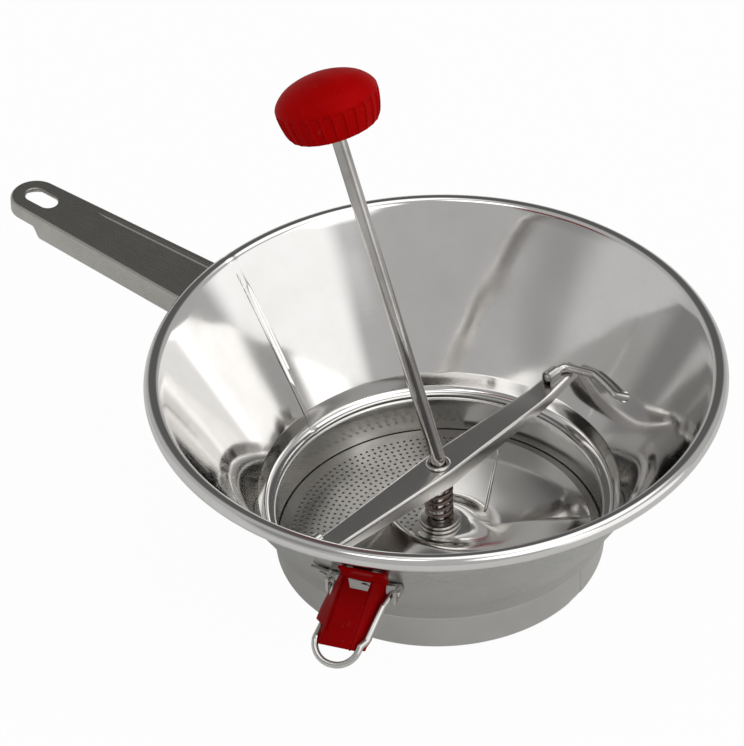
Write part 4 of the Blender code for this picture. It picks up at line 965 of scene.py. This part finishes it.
def make_knob():
    """A low smooth dome over a skirt with thin ridges between wide shallow valleys."""
    bore = ROD_RADIUS + RUN_GAP
    outline = [(0, KNOB_BORE_DEPTH), (bore, KNOB_BORE_DEPTH), (bore, 0)]
    outline += [(KNOB_RADIUS * across, KNOB_HEIGHT * up) for across, up in knob_curve()]
    outline.append((0, KNOB_HEIGHT))
    headings = [(flute + share) * 360 / KNOB_FLUTES for flute in range(KNOB_FLUTES) for share in FLUTE_SHARES]
    shape = turned(outline, headings, closed=False, change=knob_valley)
    piece("knob_cap", shape, RED_PLASTIC, "knob", "knob", knob_place(), 50)
    shape = washer(KNOB_WASHER_RADIUS, -GAP - KNOB_WASHER_THICKNESS, -GAP, KNOB_WASHER_SOFT, 48, bore)
    piece("washer_knob", shape, FITTING_STEEL, "knob_washer", "crank", place=knob_place())


# Latch

def latch_place():
    hinge = polar(HINGE_RADIUS, LATCH_HEADING, HINGE_HEIGHT)
    return frame_at(hinge, outward(LATCH_HEADING + 90), outward(LATCH_HEADING))


def knee_out():
    return wall_outer(KNEE_HEIGHT) + KNEE_GAP - HINGE_RADIUS


# Directions in the latch's own frame: the pad stands up along the wall, the arm runs down and away from it
LEAN, SKEW = radians(LATCH_LEAN), tan(radians(LEVER_SKEW))
SIDE = Vector((1, 0, 0))
DOWN, AWAY = Vector((0, -cos(LEAN), sin(LEAN))), Vector((0, sin(LEAN), cos(LEAN)))
UP_WALL, OFF_WALL = Vector((0, cos(WALL_LEAN), sin(WALL_LEAN))), Vector((0, -sin(WALL_LEAN), cos(WALL_LEAN)))
KNEE = Vector((0, KNEE_HEIGHT - HINGE_HEIGHT, knee_out()))


def flange_depth(share):
    """Depth of a flange along the arm: it grows from the knee, lessens again and has a lobe near the end."""
    depth = FLANGE_KNEE + FLANGE_GAIN * smooth_share((share - 0.05) / 0.2)
    depth -= FLANGE_LOSS * smooth_share((share - 0.35) / 0.6)
    return depth + FLANGE_LOBE * exp(-((share - 0.80) / 0.07) ** 2)


def make_lever():
    """The lever as a folded sheet: pad, knee, arm with a window, and two splayed flanges.

    The left flange flares more and more on its way down, and most of its depth ends early."""
    half, mid, window_half = LEVER_WIDTH / 2, LEVER_SHEET / 2, WINDOW_WIDTH / 2
    splay = tan(radians(FLANGE_SPLAY))
    web = [-half + LEVER_SOFT * 0.8, -window_half - WINDOW_RIM_OUT, -window_half + WINDOW_RIM_IN]
    web += [window_half * share for share in (-0.6, -0.2, 0.2, 0.6)] + [-x for x in reversed(web)]
    window = (WINDOW_START / ARM_LENGTH, WINDOW_STOP / ARM_LENGTH)

    def web_columns(share):
        """The web's columns: beside the window, its left edge slants and its right edge is further out."""
        t = (share - window[0]) / (window[1] - window[0])
        if not -0.01 < t < 1.01:
            return [(x, mid) for x in web]
        first, last = web[2], web[-3]
        left, right = first + WINDOW_LEFT_SLANT * t, last + WINDOW_RIGHT_SHIFT - WINDOW_RIGHT_SLANT * t
        return [(x if not first <= x <= last else left + (x - first) / (last - first) * (right - left), mid)
                for x in web]

    def flange(reach, depth):
        edge = rounded([(-half - reach * depth, -depth), (-half + mid, mid), (web[0] + FOLD_END, mid)],
                       [LEVER_SOFT], 5)[:-1]
        return [edge[0].lerp(edge[1], t) for t in (0, 0.35, 0.7)] + edge[1:]

    def arm_row(share):
        depth = flange_depth(share)
        cut = LEFT_CUT * smooth_share((share - LEFT_CUT_START) / LEFT_CUT_SPAN)
        left = flange(splay + LEFT_FLARE * min(1, share / LEFT_FLARE_END), depth * (1 - cut))
        across = [*left, *web_columns(share), *((-p.x, p.y) for p in reversed(flange(splay, depth)))]
        slant = FLANGE_SLANT * smooth_share((share - FLANGE_SLANT_START) / (1 - FLANGE_SLANT_START))
        along = ARM_LENGTH * share
        row = []
        for x, off in across:
            lift = slant * min(1, max(0, -off / depth))
            row.append(KNEE + DOWN * (along - lift) + SIDE * (x - SKEW * along) + AWAY * off)
        return row, len(left)

    stops = [0.02, window[0], (window[0] + window[1]) / 2, window[1]]
    stops += [stops[-1] + (1 - stops[-1]) * step / 22 for step in range(1, 23)]
    first, flange_count = arm_row(stops[0])
    total = len(first)

    def pad_row(middle):
        """A row of the pad: the web's own columns, and wider ones on both sides for the pad's ends."""
        ends = [PAD_SHIFT - PAD_WIDTH / 2 + PAD_CORNER, PAD_SHIFT + PAD_WIDTH / 2 - PAD_CORNER]
        left = [ends[0] + (web[0] - ends[0]) * step / 2 for step in range(2)]
        right = [web[-1] + (ends[1] - web[-1]) * step / 3 for step in range(1, 4)]
        row = [None] * (flange_count - 2) + [middle + SIDE * x for x in left + web + right]
        return row + [None] * (total - len(row))

    knee = rounded([KNEE + UP_WALL * PAD_FOOT + OFF_WALL * mid,
                    KNEE + OFF_WALL * mid * 0.5 + AWAY * mid * 0.5,
                    KNEE + DOWN * (ARM_LENGTH * stops[0]) + AWAY * mid], [KNEE_SOFT], 4)[1:-1]
    rows = [pad_row(KNEE + UP_WALL * along + OFF_WALL * mid)
            for along in (PAD_LENGTH, PAD_LENGTH * 0.6, PAD_LENGTH * 0.3, PAD_FOOT)]
    rows += [pad_row(spot) for spot in knee]
    pad_rows = len(rows)
    rows += [arm_row(share)[0] for share in stops]

    # The window stays open, and the pad's ends are not joined to the flanges
    web_range = range(flange_count, flange_count + len(web) - 1)
    window_range = range(web_range.start + 2, web_range.stop - 2)
    shape = bmesh.new()
    made = [[shape.verts.new(point) if point is not None else None for point in row] for row in rows]
    for r, (upper, lower) in enumerate(zip(made, made[1:])):
        for c in range(total - 1):
            corners = (upper[c], upper[c + 1], lower[c + 1], lower[c])
            in_window = r in (pad_rows + 1, pad_rows + 2) and c in window_range
            beside_knee = r == pad_rows - 1 and c not in web_range
            if None not in corners and not in_window and not beside_knee:
                shape.faces.new(corners)
    lever = piece("lever_sheet", shape, RED_PAINT, "latch_lever", "latch", latch_place())
    thick = lever.modifiers.new("sheet", "SOLIDIFY")
    thick.thickness, thick.offset = LEVER_SHEET, 0
    bevel(lever, LEVER_EDGE, 2, 50)
    settle(lever)
    smooth(lever, 40)

    low = TONGUE_HEIGHT - HINGE_HEIGHT
    tongue_in = wall_inner(TONGUE_HEIGHT) - TONGUE_REACH - HINGE_RADIUS
    tongue_out = knee_out() + (KNEE_HEIGHT - TONGUE_HEIGHT) * tan(LEAN) + LEVER_SHEET / 2
    shape = block((-TONGUE_WIDTH / 2, low, tongue_in), (TONGUE_WIDTH / 2, low + LEVER_SHEET, tongue_out))
    tongue = piece("lever_tongue", shape, RED_PAINT, None, "latch", latch_place())
    bevel(tongue, TONGUE_EDGE, 3)
    settle(tongue)


def make_bail():
    """The wire loop: its left leg runs inside the left flange, its right leg in front of the right one."""
    lug, half = Vector((BAIL_LUG_END, 0, 0)), Vector((BAIL_HINGE_HALF + BAIL_OUT, 0, 0))
    tip = ARM_LENGTH + BAIL_TIP - BAIL_RADIUS
    corners = (*BAIL_LEFT, (BAIL_LEFT[-1][0], tip, 0), (BAIL_BEND, tip, 0), *BAIL_RIGHT)
    loop = [KNEE + DOWN * along - AWAY * behind + SIDE * (x - SKEW * along) for x, along, behind in corners]
    path = rounded([-lug, -half, *loop, half, lug], BAIL_SOFT, 12)
    piece("bail_wire", tube(path, BAIL_RADIUS, 20, BAIL_END_SOFT), WIRE_STEEL, "latch_bail", "latch",
          latch_place())


def dress_cad():
    """The CAD nodes that stay get their material and softened edges."""
    for name, surface, width in (("latch_strap", FITTING_STEEL, 0.00022), ("rim_wire", RIM_STEEL, 0),
                                 ("hub_pin", FITTING_STEEL, 0.0002)):
        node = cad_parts[name]
        for slot in node.material_slots:
            slot.link = "OBJECT"
            slot.material = surface
        if width:
            bevel(node, width, 3, 40)


make_bowl()
make_band()
make_sieve()
make_bar()
make_arms()
make_saddles()
make_handle()
make_rivets()
make_crank()
make_blade()
make_spring()
make_knob()
make_lever()
make_bail()
dress_cad()


# Floor, light and camera

CAMERA_TURN, CAMERA_ELEVATION, CAMERA_ROLL = 40.0, 39.2, -2.08
CAMERA_DISTANCE, CAMERA_LENS = 2.0, 232.12
CAMERA_AIM_HEIGHT, CAMERA_LEFT, CAMERA_UP = 0.045, 0.02615, 0.0351
FLOOR_HALF, FLOOR_DROP = 4.0, 0.0002
# How much of the floor is plain white to each kind of ray
FLOOR_WHITE = (("Is Camera Ray", 0.97), ("Is Glossy Ray", 0.10), ("Is Transmission Ray", 0.3))
AMBIENT = 0.47
# Soft panels of light: heading and elevation seen from the camera's side, half-angles where each is full and
# gone, strength. Heading 0 is to the right of the picture and 90 is away from the camera.
PANELS = (
    (-22, 14, 22, 32, 0.68),
    (-52, 43, 16, 22, 1.15),
    (-125, 68, 6, 12, 1.60),
    (180, 10, 12, 30, 0.12),
    (22, 72, 15, 27, 1.05),
)
# Darker areas of the room in the same terms, each with the share of the ambient light that it takes away
DARKS = (
    (90, 38, 22, 42, 0.76),
    (-150, 36, 10, 24, 0.40),
)


def make_floor():
    """A pale floor that looks white to the camera, keeps the shadow and is clear from below."""
    made, n, shader = material("floor_pale")
    n.put(shader, "Base Color", n.blend(n.noise(n.place(), 3.0), (0.83, 0.83, 0.82), (0.79, 0.79, 0.785)))
    shader.inputs["Roughness"].default_value = 0.9
    shader.inputs["Specular IOR Level"].default_value = 0.1
    glow = n.add("Emission", Color=(1.0, 1.0, 1.0, 1.0), Strength=1.0).outputs[0]
    rays = n.add("LightPath").outputs
    camera, glossy, through = [n.times(rays[label], share) for label, share in FLOOR_WHITE]
    mixed = n.add("MixShader", n.plus(n.plus(camera, glossy), through), shader.outputs[0], glow).outputs[0]
    below = n.add("NewGeometry").outputs["Backfacing"]
    both = n.add("MixShader", below, mixed, n.add("BsdfTransparent").outputs[0]).outputs[0]
    n.put(n.tree.nodes["Material Output"], 0, both)
    mesh = bpy.data.meshes.new("floor")
    span = FLOOR_HALF
    corners = [(-span, -span, 0), (span, -span, 0), (span, span, 0), (-span, span, 0)]
    mesh.from_pydata(corners, [], [(0, 1, 2, 3)])
    mesh.materials.append(made)
    floor = bpy.data.objects.new("floor", mesh)
    SCENE.collection.objects.link(floor)
    floor.location.z = -FLOOR_DROP


def make_world():
    """The room: plain white to the camera, ambient light and panels to everything else."""
    world = bpy.data.worlds.new("studio")
    SCENE.world = world
    world.use_nodes = True
    n = Nodes(world.node_tree)
    way = n.add("TexCoord").outputs["Generated"]

    def lobe(heading, elevation, full, gone):
        middle = polar(cos(radians(elevation)), heading + CAMERA_TURN, sin(radians(elevation)))
        dot = n.add("VectorMath", way, tuple(middle), operation="DOT_PRODUCT").outputs["Value"]
        return n.spread(dot, cos(radians(gone)), cos(radians(full)), 0.0, 1.0, "SMOOTHSTEP")

    total = AMBIENT
    for *where, share in DARKS:
        total = n.times(total, n.minus(1.0, n.times(lobe(*where), share)))
    for *where, strength in PANELS:
        total = n.plus(total, n.times(lobe(*where), strength))
    rays = n.add("LightPath").outputs
    seen = n.math("MAXIMUM", rays["Is Camera Ray"], rays["Is Transmission Ray"])
    background = world.node_tree.nodes["Background"]
    n.put(background, "Strength", n.plus(n.times(total, n.minus(1.0, seen)), seen))
    n.put(background, "Color", (1.0, 1.0, 0.995, 1.0))


def make_camera():
    elevation, roll = radians(CAMERA_ELEVATION), radians(CAMERA_ROLL)
    ahead = Vector((0, cos(elevation), -sin(elevation)))
    right, up = Vector((1, 0, 0)), Vector((0, sin(elevation), cos(elevation)))
    across = right * cos(roll) + up * sin(roll)
    upright = up * cos(roll) - right * sin(roll)
    place = Vector((0, 0, CAMERA_AIM_HEIGHT)) - ahead * CAMERA_DISTANCE - right * CAMERA_LEFT + up * CAMERA_UP
    data = bpy.data.cameras.new("camera")
    data.lens = CAMERA_LENS
    data.sensor_width = 36
    data.sensor_fit = "AUTO"
    data.clip_start, data.clip_end = 0.05, 30
    camera = bpy.data.objects.new("camera", data)
    SCENE.collection.objects.link(camera)
    turn = Matrix((across, upright, -ahead)).transposed().to_4x4()
    camera.matrix_world = (Matrix.Translation(AXIS) @ about_upright(CAMERA_TURN)
                           @ Matrix.Translation(place) @ turn)
    SCENE.camera = camera


make_floor()
make_world()
make_camera()
SCENE.view_settings.view_transform = "Standard"
